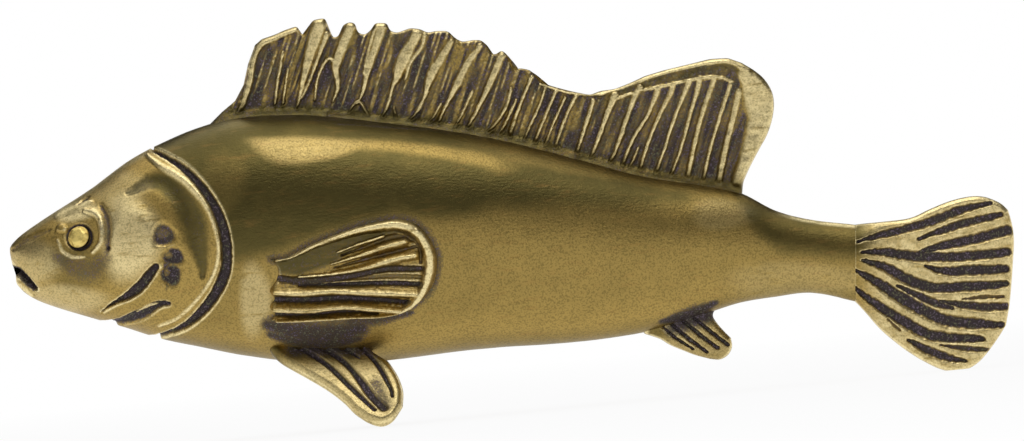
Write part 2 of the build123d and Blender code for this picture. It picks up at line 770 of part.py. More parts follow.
# Eyes: a rounded bead on a stem
with BuildPart() as left_eye:
    with BuildSketch(eye_plane.offset(-socket_depth)):
        Circle(eye_radius)
    extrude(amount=socket_depth + eye_rise)
    chamfer(left_eye.edges().sort_by(eye_axis)[-1], eye_round)
    with BuildSketch(eye_plane.offset(-socket_depth)):
        Circle(eye_stem_radius)
    extrude(amount=-eye_stem_length)
left_eye.part.label = "left_eye"
export_step(left_eye.part, "parts/left_eye.step")

with BuildPart() as right_eye:
    mirror(left_eye.part, about=Plane.XZ)
right_eye.part.label = "right_eye"
export_step(right_eye.part, "parts/right_eye.step")
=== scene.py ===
# %% [markdown]
# # A cast brass fish
# The fish is two half castings closed on a seam, with fins and eyes set into them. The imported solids
# give every place and size. This lesson dresses them: each casting becomes a fine surface with the cuts
# a chaser makes in it, and each surface carries marks that say where dark patina lies and where the
# metal is rubbed bright. A mesh painted by hand could do the same, but a surface worked out from a
# formula stays in step with the solids and can be made finer by changing one number.

import bpy
import numpy as np
from mathutils import Matrix, Vector


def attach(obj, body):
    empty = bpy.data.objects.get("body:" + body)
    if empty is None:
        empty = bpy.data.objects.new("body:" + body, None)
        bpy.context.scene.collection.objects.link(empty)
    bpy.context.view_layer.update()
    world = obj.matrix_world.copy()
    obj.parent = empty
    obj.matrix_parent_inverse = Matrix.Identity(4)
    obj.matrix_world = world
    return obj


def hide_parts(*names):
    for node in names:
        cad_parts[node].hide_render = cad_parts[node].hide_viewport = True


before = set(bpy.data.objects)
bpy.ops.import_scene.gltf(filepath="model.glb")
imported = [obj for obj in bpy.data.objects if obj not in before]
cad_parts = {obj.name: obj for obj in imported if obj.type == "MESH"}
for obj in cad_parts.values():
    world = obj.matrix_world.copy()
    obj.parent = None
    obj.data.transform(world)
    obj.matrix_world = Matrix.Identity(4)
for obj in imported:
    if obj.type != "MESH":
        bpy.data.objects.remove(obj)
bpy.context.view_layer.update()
print("nodes:", ", ".join(sorted(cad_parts)))

# %% [markdown]
# The fish has its own frame: x runs from the snout to the tail, z is up from the body's axis and y is
# out from the seam, all in millimetres. It is laid out on a drawing whose unit is 0.127 mm. The body
# stands nose up, so its frame is turned by a small angle in the model's frame.

# %% The fish's frame
UNIT = 0.127
MM = 0.001
NOSE_UP = np.radians(5.6)
ALONG = np.array([np.cos(NOSE_UP), 0, -np.sin(NOSE_UP)])
UPWARD = np.array([np.sin(NOSE_UP), 0, np.cos(NOSE_UP)])
OUT = np.array([0.0, 1.0, 0.0])
SNOUT = np.array([-63.4955, 0, 26.8554])
DRAWN_SNOUT = (10, 250)


def drawn(points):
    """Drawing points in the fish's frame: across from the snout, and up, times the drawing's unit."""
    points = np.asarray(points, float)
    across = (points[:, 0] - DRAWN_SNOUT[0]) * UNIT
    return np.column_stack([across, (DRAWN_SNOUT[1] - points[:, 1]) * UNIT])


def drawn_column(x):
    """The drawing's column at a place: the snout's column plus the distance from it in units."""
    return x / UNIT + DRAWN_SNOUT[0]


def drawn_row(z):
    """The drawing's row at a place: the snout's row less the height above it in units."""
    return DRAWN_SNOUT[1] - z / UNIT


def placed(x, y, z):
    """Places of the fish's frame in the model's: snout plus x along, y out and z up, in metres."""
    return MM * (SNOUT + x[..., None] * ALONG + y[..., None] * OUT + z[..., None] * UPWARD)


print("snout at", np.round(SNOUT * MM, 4))

# %% [markdown]
# A few helpers do all the drawing. A smooth curve is threaded through a handful of points. A stroke is
# a soft ridge or groove along such a curve. A stroke could be cut with a boolean, but that leaves hard
# walls and long thin triangles, while a chased groove in cast brass has rounded shoulders.

# %% Curves and strokes
RAGGED_SIZE, RAGGED_SEED = 0.38, 9
WANDER_GRID = 64


def ease(low, high, value):
    """0 below low, 1 above high, and between them a smooth step: 3 t squared minus 2 t cubed."""
    t = np.clip((value - low) / (high - low), 0, 1)
    return t * t * (3 - 2 * t)


def curve(points, count):
    """Cubic through the points whose slope at each is half the step between its neighbours."""
    p = np.asarray(points, float)
    p = np.vstack([2 * p[0] - p[1], p, 2 * p[-1] - p[-2]])
    s = np.linspace(0, len(points) - 1, count)
    k = np.minimum(s.astype(int), len(points) - 2)
    t = (s - k)[:, None]
    a, b, c, d = p[k], p[k + 1], p[k + 2], p[k + 3]
    bend = (2 * a - 5 * b + 4 * c - d) * t**2 + (3 * b - a - 3 * c + d) * t**3
    return (2 * b + (c - a) * t + bend) / 2


def even(points, count):
    """The same line, its points moved to equal steps of length along it."""
    steps = np.hypot(*np.diff(points, axis=0).T)
    run = np.concatenate([[0], np.cumsum(steps)])
    at = np.linspace(0, run[-1], count)
    return np.column_stack([np.interp(at, run, points[:, k]) for k in (0, 1)])


def near(x, z, line):
    """Distance from each place to the line, and the nearest point's share of the line's length."""
    steps = np.diff(line, axis=0)
    lengths = np.maximum(np.hypot(*steps.T), 1e-9)
    starts = np.concatenate([[0], np.cumsum(lengths)])
    best = np.full(x.shape, np.inf)
    share = np.zeros(x.shape)
    for (ax, az), (dx, dz), length, start in zip(line, steps, lengths, starts):
        t = np.clip(((x - ax) * dx + (z - az) * dz) / length**2, 0, 1)
        gap = np.hypot(x - ax - t * dx, z - az - t * dz)
        closer = gap < best
        best = np.where(closer, gap, best)
        share = np.where(closer, (start + t * length) / starts[-1], share)
    return best, share


def stroke(x, z, points, widths, shoulder=0.35, ragged=0.05):
    """1 along the curve through drawing points, easing to 0 at half its width, with a ragged edge."""
    line = curve(drawn(points), 5 * len(points))
    value = np.zeros(x.shape)
    reach = max(widths) * UNIT
    low, high = line.min(0) - reach, line.max(0) + reach
    inside = (x > low[0]) & (x < high[0]) & (z > low[1]) & (z < high[1])
    gap, share = near(x[inside], z[inside], line)
    gap = gap + ragged * wander(x[inside], z[inside], RAGGED_SIZE, RAGGED_SEED)
    half = np.interp(share, np.linspace(0, 1, len(widths)), widths) * UNIT / 2
    value[inside] = 1 - ease(shoulder, 1, gap / np.maximum(half, 1e-6))
    return value


def strokes(x, z, rows, shoulder, ragged=0.05, wider=1.0):
    """The greatest of several strokes. A row has its points, its widths and, if not 1, its depth."""
    greatest = np.zeros(x.shape)
    for points, widths, *depth in rows:
        value = stroke(x, z, points, [wider * width for width in widths], shoulder, ragged)
        greatest = np.maximum(greatest, value * (depth[0] if depth else 1.0))
    return greatest


def blob(x, z, centre, across, tall, lobes=0.07, turn=0.0):
    """1 in a round pit, easing to 0 at its rim, a circle whose radius swells three times round it."""
    cx, cz = drawn([centre])[0]
    u, v = (x - cx) / (across * UNIT / 2), (z - cz) / (tall * UNIT / 2)
    rim = 1 + lobes * np.cos(3 * np.arctan2(v, u) + turn)
    return 1 - ease(0.5, 1, np.hypot(u, v) / rim)


def softened(field, times):
    """The field averaged with its neighbours on the grid, a quarter, a half and a quarter, many times."""
    field = field.copy()
    for _ in range(times):
        field[1:-1] = (field[:-2] + 2 * field[1:-1] + field[2:]) / 4
        field[:, 1:-1] = (field[:, :-2] + 2 * field[:, 1:-1] + field[:, 2:]) / 4
    return field


def wander(x, z, size, seed):
    """Smooth unevenness from -1 to 1: a grid of seeded random heights, eased between its corners."""
    heights = np.random.default_rng(seed).uniform(-1, 1, (WANDER_GRID, WANDER_GRID))
    u, v = x / size + WANDER_GRID / 2, z / size + WANDER_GRID / 2
    i, j = np.floor(u).astype(int), np.floor(v).astype(int)
    s, t = ease(0, 1, u - i), ease(0, 1, v - j)
    i, j = i % (WANDER_GRID - 1), j % (WANDER_GRID - 1)
    low = heights[i, j] * (1 - s) + heights[i + 1, j] * s
    high = heights[i, j + 1] * (1 - s) + heights[i + 1, j + 1] * s
    return low * (1 - t) + high * t


print("a stroke is", stroke(np.zeros(1), np.zeros(1), [(0, 250), (20, 250)], [8])[0], "on its line")

# %% [markdown]
# Every piece ends as one mesh. Its points go in at their final place, so the object stays at the
# origin. Three marks ride on the points. The first says where patina stays in the hollows and where
# shade is painted in corners, creases and under the fins. The second says where a rubbed edge is
# bright and where highlights are painted. The third says where the metal was left darker and where
# shade and dark reflection are painted. Painting them as an image would need an unwrapped surface;
# marks on points need none.

# %% Make a piece
def grid_faces(index):
    """Four-sided faces between neighbouring entries of a grid of point numbers."""
    a, b, c, d = index[:-1, :-1], index[1:, :-1], index[1:, 1:], index[:-1, 1:]
    return np.stack([a, b, c, d], axis=-1).reshape(-1, 4)


def ring_faces(index):
    """The same for a grid whose rows run round and meet."""
    return grid_faces(np.concatenate([index, index[:, :1]], axis=1))


def volume(points, faces):
    """Signed volume: a sixth of the triple product of every triangle's corners, added up."""
    a, b, c, d = (points[faces[:, k]] for k in range(4))
    return (np.einsum("ij,ij->", a, np.cross(b, c)) + np.einsum("ij,ij->", a, np.cross(c, d))) / 6


def add_object(name, data):
    """An object for a mesh, a lamp or a camera, put into the scene."""
    made = bpy.data.objects.new(name, data)
    bpy.context.scene.collection.objects.link(made)
    return made


def make_piece(name, node, points, faces, marks, caps=(), material=None):
    """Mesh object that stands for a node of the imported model, its faces turned outwards."""
    if volume(points, faces) < 0:
        faces = faces[:, ::-1]
        caps = [cap[::-1] for cap in caps]
    mesh = bpy.data.meshes.new(name)
    mesh.from_pydata(points.tolist(), [], faces.tolist() + [list(map(int, cap)) for cap in caps])
    for mark, values in marks.items():
        attribute = mesh.attributes.new(mark, "FLOAT", "POINT")
        attribute.data.foreach_set("value", np.clip(values, 0, 1).astype(np.float32).ravel())
    mesh.polygons.foreach_set("use_smooth", np.ones(len(mesh.polygons), bool))
    mesh.update()
    piece = add_object(name, mesh)
    mesh.materials.append(material or finish)
    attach(piece, "root")
    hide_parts(node)
    triangles = sum(len(p.vertices) - 2 for p in mesh.polygons)
    filled = abs(volume(points, faces)) / MM**3
    print(f"{name}: {len(points)} points, {triangles} triangles, {filled:.0f} mm3")


print("a grid of 3 by 3 points has", len(grid_faces(np.arange(9).reshape(3, 3))), "faces")

# %% [markdown]
# A finish is a net of nodes: each takes numbers or colours in and hands one on. It could be drawn by
# hand in the shader editor, but a script can be read and changed line by line. Each helper here adds
# one node and returns what it gives, so that a finish reads like a row of sums.

# %% Node helpers
MARKS = ("recess", "wear", "tone")


def add_node(tree, kind, settings=(), **inputs):
    """A node of that kind, its settings set and each named input given a value or a link."""
    made = tree.nodes.new("ShaderNode" + kind)
    for name, value in dict(settings).items():
        setattr(made, name, value)
    for name, value in inputs.items():
        socket = made.inputs[int(name[1:])] if name[0] == "_" and name[1:].isdigit() else made.inputs[name]
        if isinstance(value, bpy.types.NodeSocket):
            tree.links.new(value, socket)
        else:
            socket.default_value = value
    return made


def math_node(tree, operation, first, second=0.5, third=0.5, clamp=False):
    """The result of one sum on two values, or on three where the sum takes three."""
    settings = {"operation": operation, "use_clamp": clamp}
    return add_node(tree, "Math", settings, _0=first, _1=second, _2=third).outputs[0]


def mixed(tree, share, first, second):
    """A colour that goes from the first to the second by the share."""
    made = add_node(tree, "Mix", {"data_type": "RGBA"}, _0=share, _6=first, _7=second)
    return made.outputs[2]


def noise(tree, place, scale, detail=2.0, stretch=None):
    """Noise with about that many grains to the metre, longer along x where stretched."""
    if stretch:
        place = add_node(tree, "Mapping", Vector=place, Scale=stretch).outputs[0]
    made = add_node(tree, "TexNoise", Vector=place, Scale=scale, Detail=detail, Roughness=0.6)
    return made.outputs["Fac"]


def mark(tree, name):
    """A mark that rides on the points."""
    return add_node(tree, "Attribute", {"attribute_name": name}).outputs["Fac"]


def ramp(tree, value, low, high, start=0.0, end=1.0, curved=True):
    """A value from start to end while the input goes from low to high, by a smooth step or straight."""
    settings = {"interpolation_type": "SMOOTHSTEP" if curved else "LINEAR"}
    return add_node(tree, "MapRange", settings, Value=value, _1=low, _2=high, _3=start, _4=end).outputs[0]


def new_finish(name):
    """A material, its node tree, its shader, and the place on the piece that its patterns follow."""
    material = bpy.data.materials.new(name)
    material.use_nodes = True
    tree = material.node_tree
    return material, tree, tree.nodes["Principled BSDF"], add_node(tree, "TexCoord").outputs["Object"]


def dress(tree, shader, colour, rough, relief, strength, depth):
    """Colour, roughness and bump linked to the shader, the bump as deep as that in metres."""
    tree.links.new(colour, shader.inputs["Base Color"])
    tree.links.new(rough, shader.inputs["Roughness"])
    bump = add_node(tree, "Bump", Height=relief, Strength=strength, Distance=depth)
    tree.links.new(bump.outputs[0], shader.inputs["Normal"])


print("marks that a finish can read:", ", ".join(MARKS))

# %% [markdown]
# The finish is antique brass: the casting is darkened all over, then rubbed back with a fine abrasive.
# The hollows keep a dark film that is violet here and green there, the flats show a satin yellow with
# fine grain, and the ridges are bright. One material serves all the castings, because one bath and one
# rubbing did on the real fish. The same colours also carry painted light. The film paints shade under
# the fins and in creases, the olive paints shade and dark reflection on the upper flank, and the gold
# paints highlights on the cheek, the brow and the edge of the back. It mixes its colours by the marks,
# and noise breaks up each edge, so that nothing looks sprayed.

# %% Antique brass
# The olive also paints shade and dark reflection, the gold also paints highlights, and the film colours
# also paint shade.
TAN = (0.465, 0.32, 0.093, 1)
OLIVE_AND_SHADE = (0.118, 0.094, 0.030, 1)
GOLD_AND_HIGHLIGHT = (0.99, 0.83, 0.44, 1)
RUST = (0.36, 0.20, 0.06, 1)
FILM_AND_SHADE = (0.050, 0.037, 0.038, 1)
VIOLET_FILM_AND_SHADE = (0.19, 0.145, 0.19, 1)
GREEN_FILM_AND_SHADE = (0.18, 0.175, 0.10, 1)


def chased_brass():
    """Tan to olive by tone and painted shade, to gold by wear and painted highlight, and to the film by
    patina and painted shade, each share broken up by noise.
    """
    material, tree, shader, place = new_finish("chased_brass")
    cloud = noise(tree, place, 260, 3)
    grain = noise(tree, place, 3600, 3, stretch=(0.35, 1, 1))
    sand = noise(tree, place, 4100, 2)
    scuff = noise(tree, place, 900, 4, stretch=(0.3, 1, 1.6))
    recess, wear, tone = (mark(tree, name) for name in MARKS)

    uneven = math_node(tree, "MULTIPLY_ADD", cloud, 0.5, -0.25)
    flat = mixed(tree, math_node(tree, "ADD", tone, uneven, clamp=True), TAN, OLIVE_AND_SHADE)
    warm = math_node(tree, "MULTIPLY", ramp(tree, scuff, 0.52, 0.78), 0.35)
    flat = mixed(tree, warm, flat, RUST)
    pitted = math_node(tree, "MULTIPLY", ramp(tree, sand, 0.44, 0.64), 0.48)
    flat = mixed(tree, pitted, flat, OLIVE_AND_SHADE)

    # Gold where the metal is rubbed and where highlights are painted.
    rubbed = math_node(tree, "MULTIPLY", wear, ramp(tree, scuff, 0.22, 0.48))
    clean = ramp(tree, sand, 0.46, 0.66, 1.0, 0.55, curved=False)
    flat = mixed(tree, math_node(tree, "MULTIPLY", rubbed, clean), flat, GOLD_AND_HIGHLIGHT)

    tint = ramp(tree, noise(tree, place, 700, 2), 0.45, 0.57)
    # The dark film, where patina lies and where shade is painted.
    film = mixed(tree, ramp(tree, sand, 0.50, 0.68), FILM_AND_SHADE, mixed(tree, tint, VIOLET_FILM_AND_SHADE, GREEN_FILM_AND_SHADE))
    broken = math_node(tree, "MULTIPLY_ADD", sand, 0.6, -0.3)
    film_and_shade_share = ramp(tree, math_node(tree, "ADD", recess, broken), 0.2, 0.9)
    metal = ramp(tree, film_and_shade_share, 0.0, 1.0, 1.0, 0.6, curved=False)
    tree.links.new(metal, shader.inputs["Metallic"])

    rough = math_node(tree, "MULTIPLY_ADD", grain, 0.16, 0.32)
    rough = math_node(tree, "ADD", rough, math_node(tree, "MULTIPLY", film_and_shade_share, 0.2))
    sandy = math_node(tree, "MULTIPLY", sand, math_node(tree, "ADD", film_and_shade_share, 0.6))
    relief = math_node(tree, "ADD", grain, sandy)
    dress(tree, shader, mixed(tree, film_and_shade_share, flat, film), rough, relief, 0.6, 0.00006)
    return material


finish = chased_brass()
print("material:", finish.name, "with", len(finish.node_tree.nodes), "nodes")

# %% [markdown]
# The body is a row of cross-sections from the snout back. Each is two half ellipses that meet at the
# widest height: one up to the back, one down to the belly. The same rows of shares as the solid's are
# threaded by the same cubic, so the surface lies on the solid.

# %% The body's sections
BODY_LENGTH = 107.3
BODY_DEPTH = 31.6
BODY_WIDTH = 19.5
SECTIONS = np.array([
    (0.000, 0.016, -0.024, 0.000, 0.05), (0.010, 0.050, -0.138, -0.035, 0.22),
    (0.022, 0.082, -0.182, -0.046, 0.345), (0.045, 0.135, -0.219, -0.050, 0.50),
    (0.097, 0.249, -0.273, -0.050, 0.72), (0.140, 0.357, -0.315, -0.030, 0.82),
    (0.182, 0.434, -0.359, -0.020, 0.89), (0.225, 0.494, -0.389, -0.010, 0.94),
    (0.272, 0.535, -0.421, 0.010, 0.98), (0.343, 0.546, -0.450, 0.020, 1.00),
    (0.402, 0.531, -0.454, 0.020, 0.99), (0.462, 0.508, -0.438, 0.015, 0.96),
    (0.521, 0.482, -0.412, 0.012, 0.93), (0.580, 0.446, -0.391, 0.010, 0.88),
    (0.639, 0.398, -0.379, 0.000, 0.81), (0.698, 0.345, -0.359, -0.010, 0.73),
    (0.757, 0.296, -0.326, -0.010, 0.63), (0.817, 0.264, -0.263, -0.010, 0.53),
    (0.864, 0.230, -0.212, -0.012, 0.44), (0.907, 0.157, -0.188, -0.015, 0.36),
    (0.949, 0.121, -0.172, -0.028, 0.30), (1.000, 0.102, -0.206, -0.050, 0.27),
])


def section(x):
    """Back, belly, widest height and half width at each x: cubic, with slopes from the neighbours."""
    share = np.clip(np.asarray(x, float) / BODY_LENGTH, 0, 1)
    last = len(SECTIONS) - 1
    k = np.clip(np.searchsorted(SECTIONS[:, 0], share, side="right") - 1, 0, last - 1)
    before, low = SECTIONS[np.maximum(k - 1, 0)], SECTIONS[k]
    high, after = SECTIONS[k + 1], SECTIONS[np.minimum(k + 2, last)]
    span = high[..., :1] - low[..., :1]
    t = (share[..., None] - low[..., :1]) / span
    slope_low = (high - before) / (high[..., :1] - before[..., :1]) * span
    slope_high = (after - low) / (after[..., :1] - low[..., :1]) * span
    value = low + (high - low) * t**2 * (3 - 2 * t)
    value = value + slope_low * t * (1 - t) ** 2 - slope_high * t**2 * (1 - t)
    return (value[..., 1] * BODY_DEPTH, value[..., 2] * BODY_DEPTH, value[..., 3] * BODY_DEPTH,
            value[..., 4] * BODY_WIDTH / 2)


def flank(x, z):
    """How far the skin lies from the seam: half width times the root of 1 minus height squared."""
    back, belly, widest, half = section(x)
    reach = np.where(z > widest, back - widest, widest - belly)
    return half * np.sqrt(np.clip(1 - ((z - widest) / reach) ** 2, 0, 1))


back_line, belly_line = section(np.linspace(0, BODY_LENGTH, 200))[:2]
print("the body is", round(float(np.max(back_line - belly_line)), 1), "mm deep at its deepest")

# %% [markdown]
# A chaser cuts the head with a few tools: a broad one for the gill slot, a narrow one for the mouth
# and cheek, a round punch for the pits, and a ring punch for the eye. In front of the gill slot the cover
# has a raised rim, and between rim and cheek lies a shallow crescent. Each is one row below: its
# drawing points, its widths along them, its rise in millimetres, how much patina it keeps, and how
# flat it is across. A pit's row has its centre, its width and height, its rise, its patina and how
# far its lobes are turned. Less than no patina wipes off what lies there.

# %% What is chased into the head and body
GILL = [(153, 149), (170, 158), (185, 168), (200, 183), (211, 198), (219, 213), (225, 230), (228, 250),
        (227, 270), (221, 286), (212, 301), (200, 315), (185, 327), (165, 335), (150, 337)]
CRESCENT = [(129, 193), (138, 189), (150, 182), (166, 184), (184, 202), (194, 221), (199, 239),
            (203, 260), (204, 276)]
CRESCENT_WIDTHS = [8, 18, 30, 35, 38, 37, 32, 20, 9]
HEAD_STROKES = [
    # The gill slot, the raised rim in front of it, and the crescent
    (GILL, [5, 8, 10, 12, 13, 13, 12, 8, 4], -0.80, 1.0, 0.5),
    ([(148, 155), (160, 165), (182, 178), (198, 193), (210, 210), (217, 229), (220, 247), (218, 266),
      (210, 284), (195, 303), (178, 318), (160, 325)], [5, 11, 10, 7, 5, 5, 5, 5, 4], 0.26, 0.0, 0.2),
    (CRESCENT, CRESCENT_WIDTHS, -0.36, 0.0, 0.0),
    # The mouth, the film round it, and the lower lip
    ([(11, 270), (18, 272), (27, 280), (36, 289)], [7, 8, 9, 8, 5], -1.1, 1.0, 0.55),
    ([(13, 270), (19, 272), (27, 280), (35, 288)], [12, 12, 12, 11, 8], 0.0, 1.0, 0.5),
    ([(16, 281), (24, 288), (34, 296)], [4, 7, 4], 0.15, 0.0, 0.2),
    # The two cuts in the cheek, and the ridge left standing in the lower one
    ([(103, 312), (113, 305), (128, 297), (141, 287), (150, 276), (157, 267)],
     [2, 5, 9, 13, 12, 9], -0.75, 1.0, 0.5),
    ([(102, 322), (118, 322), (131, 319), (143, 314), (153, 308), (162, 304), (170, 304)],
     [3, 6, 10, 14, 14, 10, 5], -0.55, 1.0, 0.5),
    ([(138, 312), (148, 307), (158, 304)], [2, 6, 3], 0.42, -0.6, 0.3),
    # The snout's groove, the notch over the brow, and the brow
    ([(13, 250), (22, 243), (34, 237), (50, 230)], [5, 9, 9, 4], -0.14, 0.50, 0.2),
    ([(80, 205), (84, 201), (89, 197)], [3, 5, 3], -0.35, 1.0, 0.4),
    ([(58, 217), (68, 211), (78, 208), (92, 202)], [6, 12, 11, 5], 0.30, 0.0, 0.2),
    # The rim behind the eye, the groove behind that, and the lower lid
    ([(86, 211), (96, 213), (102, 220), (104, 231), (102, 243), (95, 252)],
     [6, 10, 9, 8, 7, 5], 0.32, 0.0, 0.2),
    ([(102, 206), (107, 215), (110, 228), (110, 240), (109, 250)], [7, 11, 11, 9, 7], -0.24, 0.75, 0.1),
    ([(59, 240), (64, 251), (74, 257), (86, 257)], [3, 5, 5, 3], 0.12, 0.0, 0.2),
    # The links between the pits, and a drip below them
    ([(170, 260), (168, 266), (169, 272)], [9, 10, 9], -0.2, 0.7, 0.4),
    ([(169, 280), (168, 289)], [12, 7], -0.2, 0.5, 0.1),
]
HEAD_PITS = [
    # The three pits, the bare spots on their floors that also paint their highlights, and the bright lip of
    # the first
    ((165, 235), 29, 29, -0.42, 0.85, 0.6), ((175, 256.5), 28, 22, -0.42, 0.95, 2.0),
    ((172.5, 275.5), 27, 28, -0.45, 0.95, 3.4), ((164, 233), 17, 14, 0.0, -0.25, 0.0),
    ((170, 255), 10, 10, 0.0, -0.4, 0.0), ((168, 273), 8, 10, 0.0, -0.4, 0.0),
    ((163, 247), 10, 5, 0.1, -0.6, 0.0),
    # The bump before the eye, the end of the groove behind it, and the swell of the cheek
    ((63, 228.5), 13, 11, 0.34, 0.0, 1.0), ((110, 248), 6, 6, -0.3, 1.0, 0.0),
    ((135, 240), 66, 84, 0.38, 0.0, 1.0),
]
EYE_CENTRE = (80.5, 237)
EYE_RING = (22.5, 29.5)
EYE_SINKS = 0.42


def with_film(recess, film, value):
    """Patina with one more cut: the greater of the two, or where film is negative, wiped by its share."""
    return recess * (1 + film * value) if film < 0 else np.maximum(recess, film * value)


def chased(x, z):
    """Rise of the skin in millimetres, patina and rubbed ridges: the sum and the greatest of the cuts."""
    rise, recess, proud = (np.zeros(x.shape) for _ in range(3))
    for points, widths, height, film, shoulder in HEAD_STROKES:
        value = stroke(x, z, points, widths, shoulder)
        rise += height * value
        recess = with_film(recess, film, value)
        proud = np.maximum(proud, (height > 0) * value)
    for centre, across, tall, height, film, turn in HEAD_PITS:
        value = blob(x, z, centre, across, tall, turn=turn)
        rise += height * value
        recess = with_film(recess, film, value)
    ex, ez = drawn([EYE_CENTRE])[0]
    out = 2 * np.hypot(x - ex, z - ez) / UNIT
    inner, outer = EYE_RING
    ring = ease(inner - 4, inner, out) * (1 - ease(outer - 5, outer, out))
    rise -= EYE_SINKS * (1 - ease(outer - 6, outer, out))
    return rise, np.maximum(recess, ring), proud


print("the gill slot is", -round(float(chased(*drawn([GILL[7]]).T)[0][0]), 2), "mm deep")

# %% [markdown]
# The fins leave their shadow on the body: it is painted as dark film in the corner where a fin's
# edge meets the skin, round the side fin's edge and under it. So the outlines of the side fin and of
# the fins' roots are drawn once here, and both the body's marks and the fins themselves read them.

# %% Outlines that the body and the fins share
PECTORAL_TOP = [(272, 259), (285, 258), (294, 254), (306, 247), (322, 240), (340, 233), (360, 226),
                (380, 221), (400, 219), (416, 223)]
PECTORAL_TIP = [(398, 312), (414, 305), (427, 294), (435, 281), (438, 264), (436, 250), (428, 235),
                (416, 223)]
PECTORAL_FOOT = [(272, 319), (276, 313), (271, 306), (276, 298), (271, 290), (278, 279), (279, 268),
                 (272, 259)]
PECTORAL_LOW = [(272, 319), (300, 319), (330, 318), (355, 316), (380, 315), (398, 312)]
DORSAL_FOOT = [(238, 114), (300, 116), (360, 119), (420, 124), (480, 134), (540, 148), (600, 168),
               (660, 178), (705, 187), (742, 194)]
# Painted shadows on the skin, each with its points, its widths and its darkness: under the side fin, along
# its lower edge, at the anal fin's root, under and behind the eye, and a crease under the dorsal fin's
# foot.
SHADOWED = [
    ([(268, 324), (295, 331), (328, 334), (362, 328)], [24, 56, 62, 34], 0.82),
    ([(270, 334), (300, 341), (335, 342), (360, 338)], [14, 30, 32, 16], 0.80),
    ([(350, 322), (385, 318), (412, 312)], [28, 26, 12], 0.75),
    ([(660, 322), (680, 317), (698, 311), (716, 302)], [8, 26, 28, 10], 0.85),
    ([(58, 256), (74, 266), (92, 270), (108, 258)], [22, 46, 52, 26], 0.52),
    ([(101, 222), (107, 236), (109, 252)], [8, 14, 12], 0.5),
    ([(330, 124), (370, 126), (410, 129), (440, 130)], [2, 4, 4, 2], 0.6),
]


def lines_of(*rows):
    """One line through several rows of drawing points."""
    return curve(drawn(np.vstack(rows)), 90)


PADDLE_EDGE = lines_of(PECTORAL_TOP, PECTORAL_TIP[-2::-1], PECTORAL_LOW[-2::-1])
DORSAL_LINE = lines_of(DORSAL_FOOT)
print("the side fin is", round(float(np.ptp(PADDLE_EDGE[:, 0])), 1), "mm long")

# %% [markdown]
# The flank isn't one colour. Its upper part is darker, partly as a darker finish and partly as painted
# shade and reflection. A lighter band under the dorsal fin is a painted highlight. The places that stand
# out are brighter, partly rubbed with a pad in a few strokes and partly painted highlight: the cheek, the
# brow, the jaw and the edge of the back. Here each such place is a line or a soft round patch, and a mark
# is their sum or the greatest of them, so any one can be moved alone.

# %% Marks of the body
# The upper flank's darkness, part finish and part painted shade and reflection, lies above the next line.
DARK_LOW = [(150, 250), (205, 262), (240, 266), (262, 258), (290, 250), (330, 235), (400, 216),
            (440, 222), (470, 217), (500, 210), (560, 208), (620, 212), (675, 208), (705, 198),
            (732, 198), (755, 234), (780, 254), (820, 259), (860, 263)]
# The next line and the one after the crest line bound the band of painted highlight under the dorsal fin.
HIGHLIGHT_LOW = [(236, 158), (250, 162), (300, 163), (335, 157), (362, 148), (400, 151), (440, 157),
            (480, 165), (500, 172)]
CREST = [(430, 148), (500, 158), (560, 172), (640, 184), (700, 198), (760, 206), (860, 224)]
HIGHLIGHT_HIGH = [(236, 140), (300, 138), (360, 141), (400, 143), (440, 147), (480, 153), (500, 158)]
MIDDLE_LOW = [(240, 330), (400, 318), (600, 306), (740, 280), (860, 275)]
# Bright patches, partly rubbed and partly painted highlight, each with its centre, width, height and share.
RUBBED_AND_HIGHLIT = [
    # The strip behind the gill slot, the cheek, the snout and the jaw
    ((256, 300), 40, 90, 0.38), ((132, 238), 74, 106, 0.75), ((34, 262), 70, 60, 0.36),
    ((64, 300), 110, 40, 0.4),
    # The brow, the tail stalk, the forehead and the back before the stalk
    ((74, 210), 60, 30, 0.8), ((800, 281), 190, 48, 0.12), ((118, 186), 80, 46, 0.25),
    ((722, 214), 80, 40, 0.14),
]


def above(x, z, line, soft):
    """1 above a line of drawing points, 0 below it, with a soft step of that many millimetres."""
    line = drawn(line)
    return ease(-soft / 2, soft / 2, z - np.interp(x, line[:, 0], line[:, 1]))


def behind_gill(x, z):
    """0 in front of the gill slot's line and 1 behind it, with a soft step of 1.4 mm."""
    line = drawn(GILL)
    return ease(-0.2, 1.2, x - np.interp(-z, -line[:, 1], line[:, 0]))


def painted_highlight_band(x, z):
    """1 in the band of painted highlight: above its low line, below its high line and behind its slanted
    end.
    """
    band = above(x, z, HIGHLIGHT_LOW, 1.5) * (1 - above(x, z, HIGHLIGHT_HIGH, 1.2))
    return band * ease(358, 384, drawn_column(x) + 1.1 * z / UNIT)


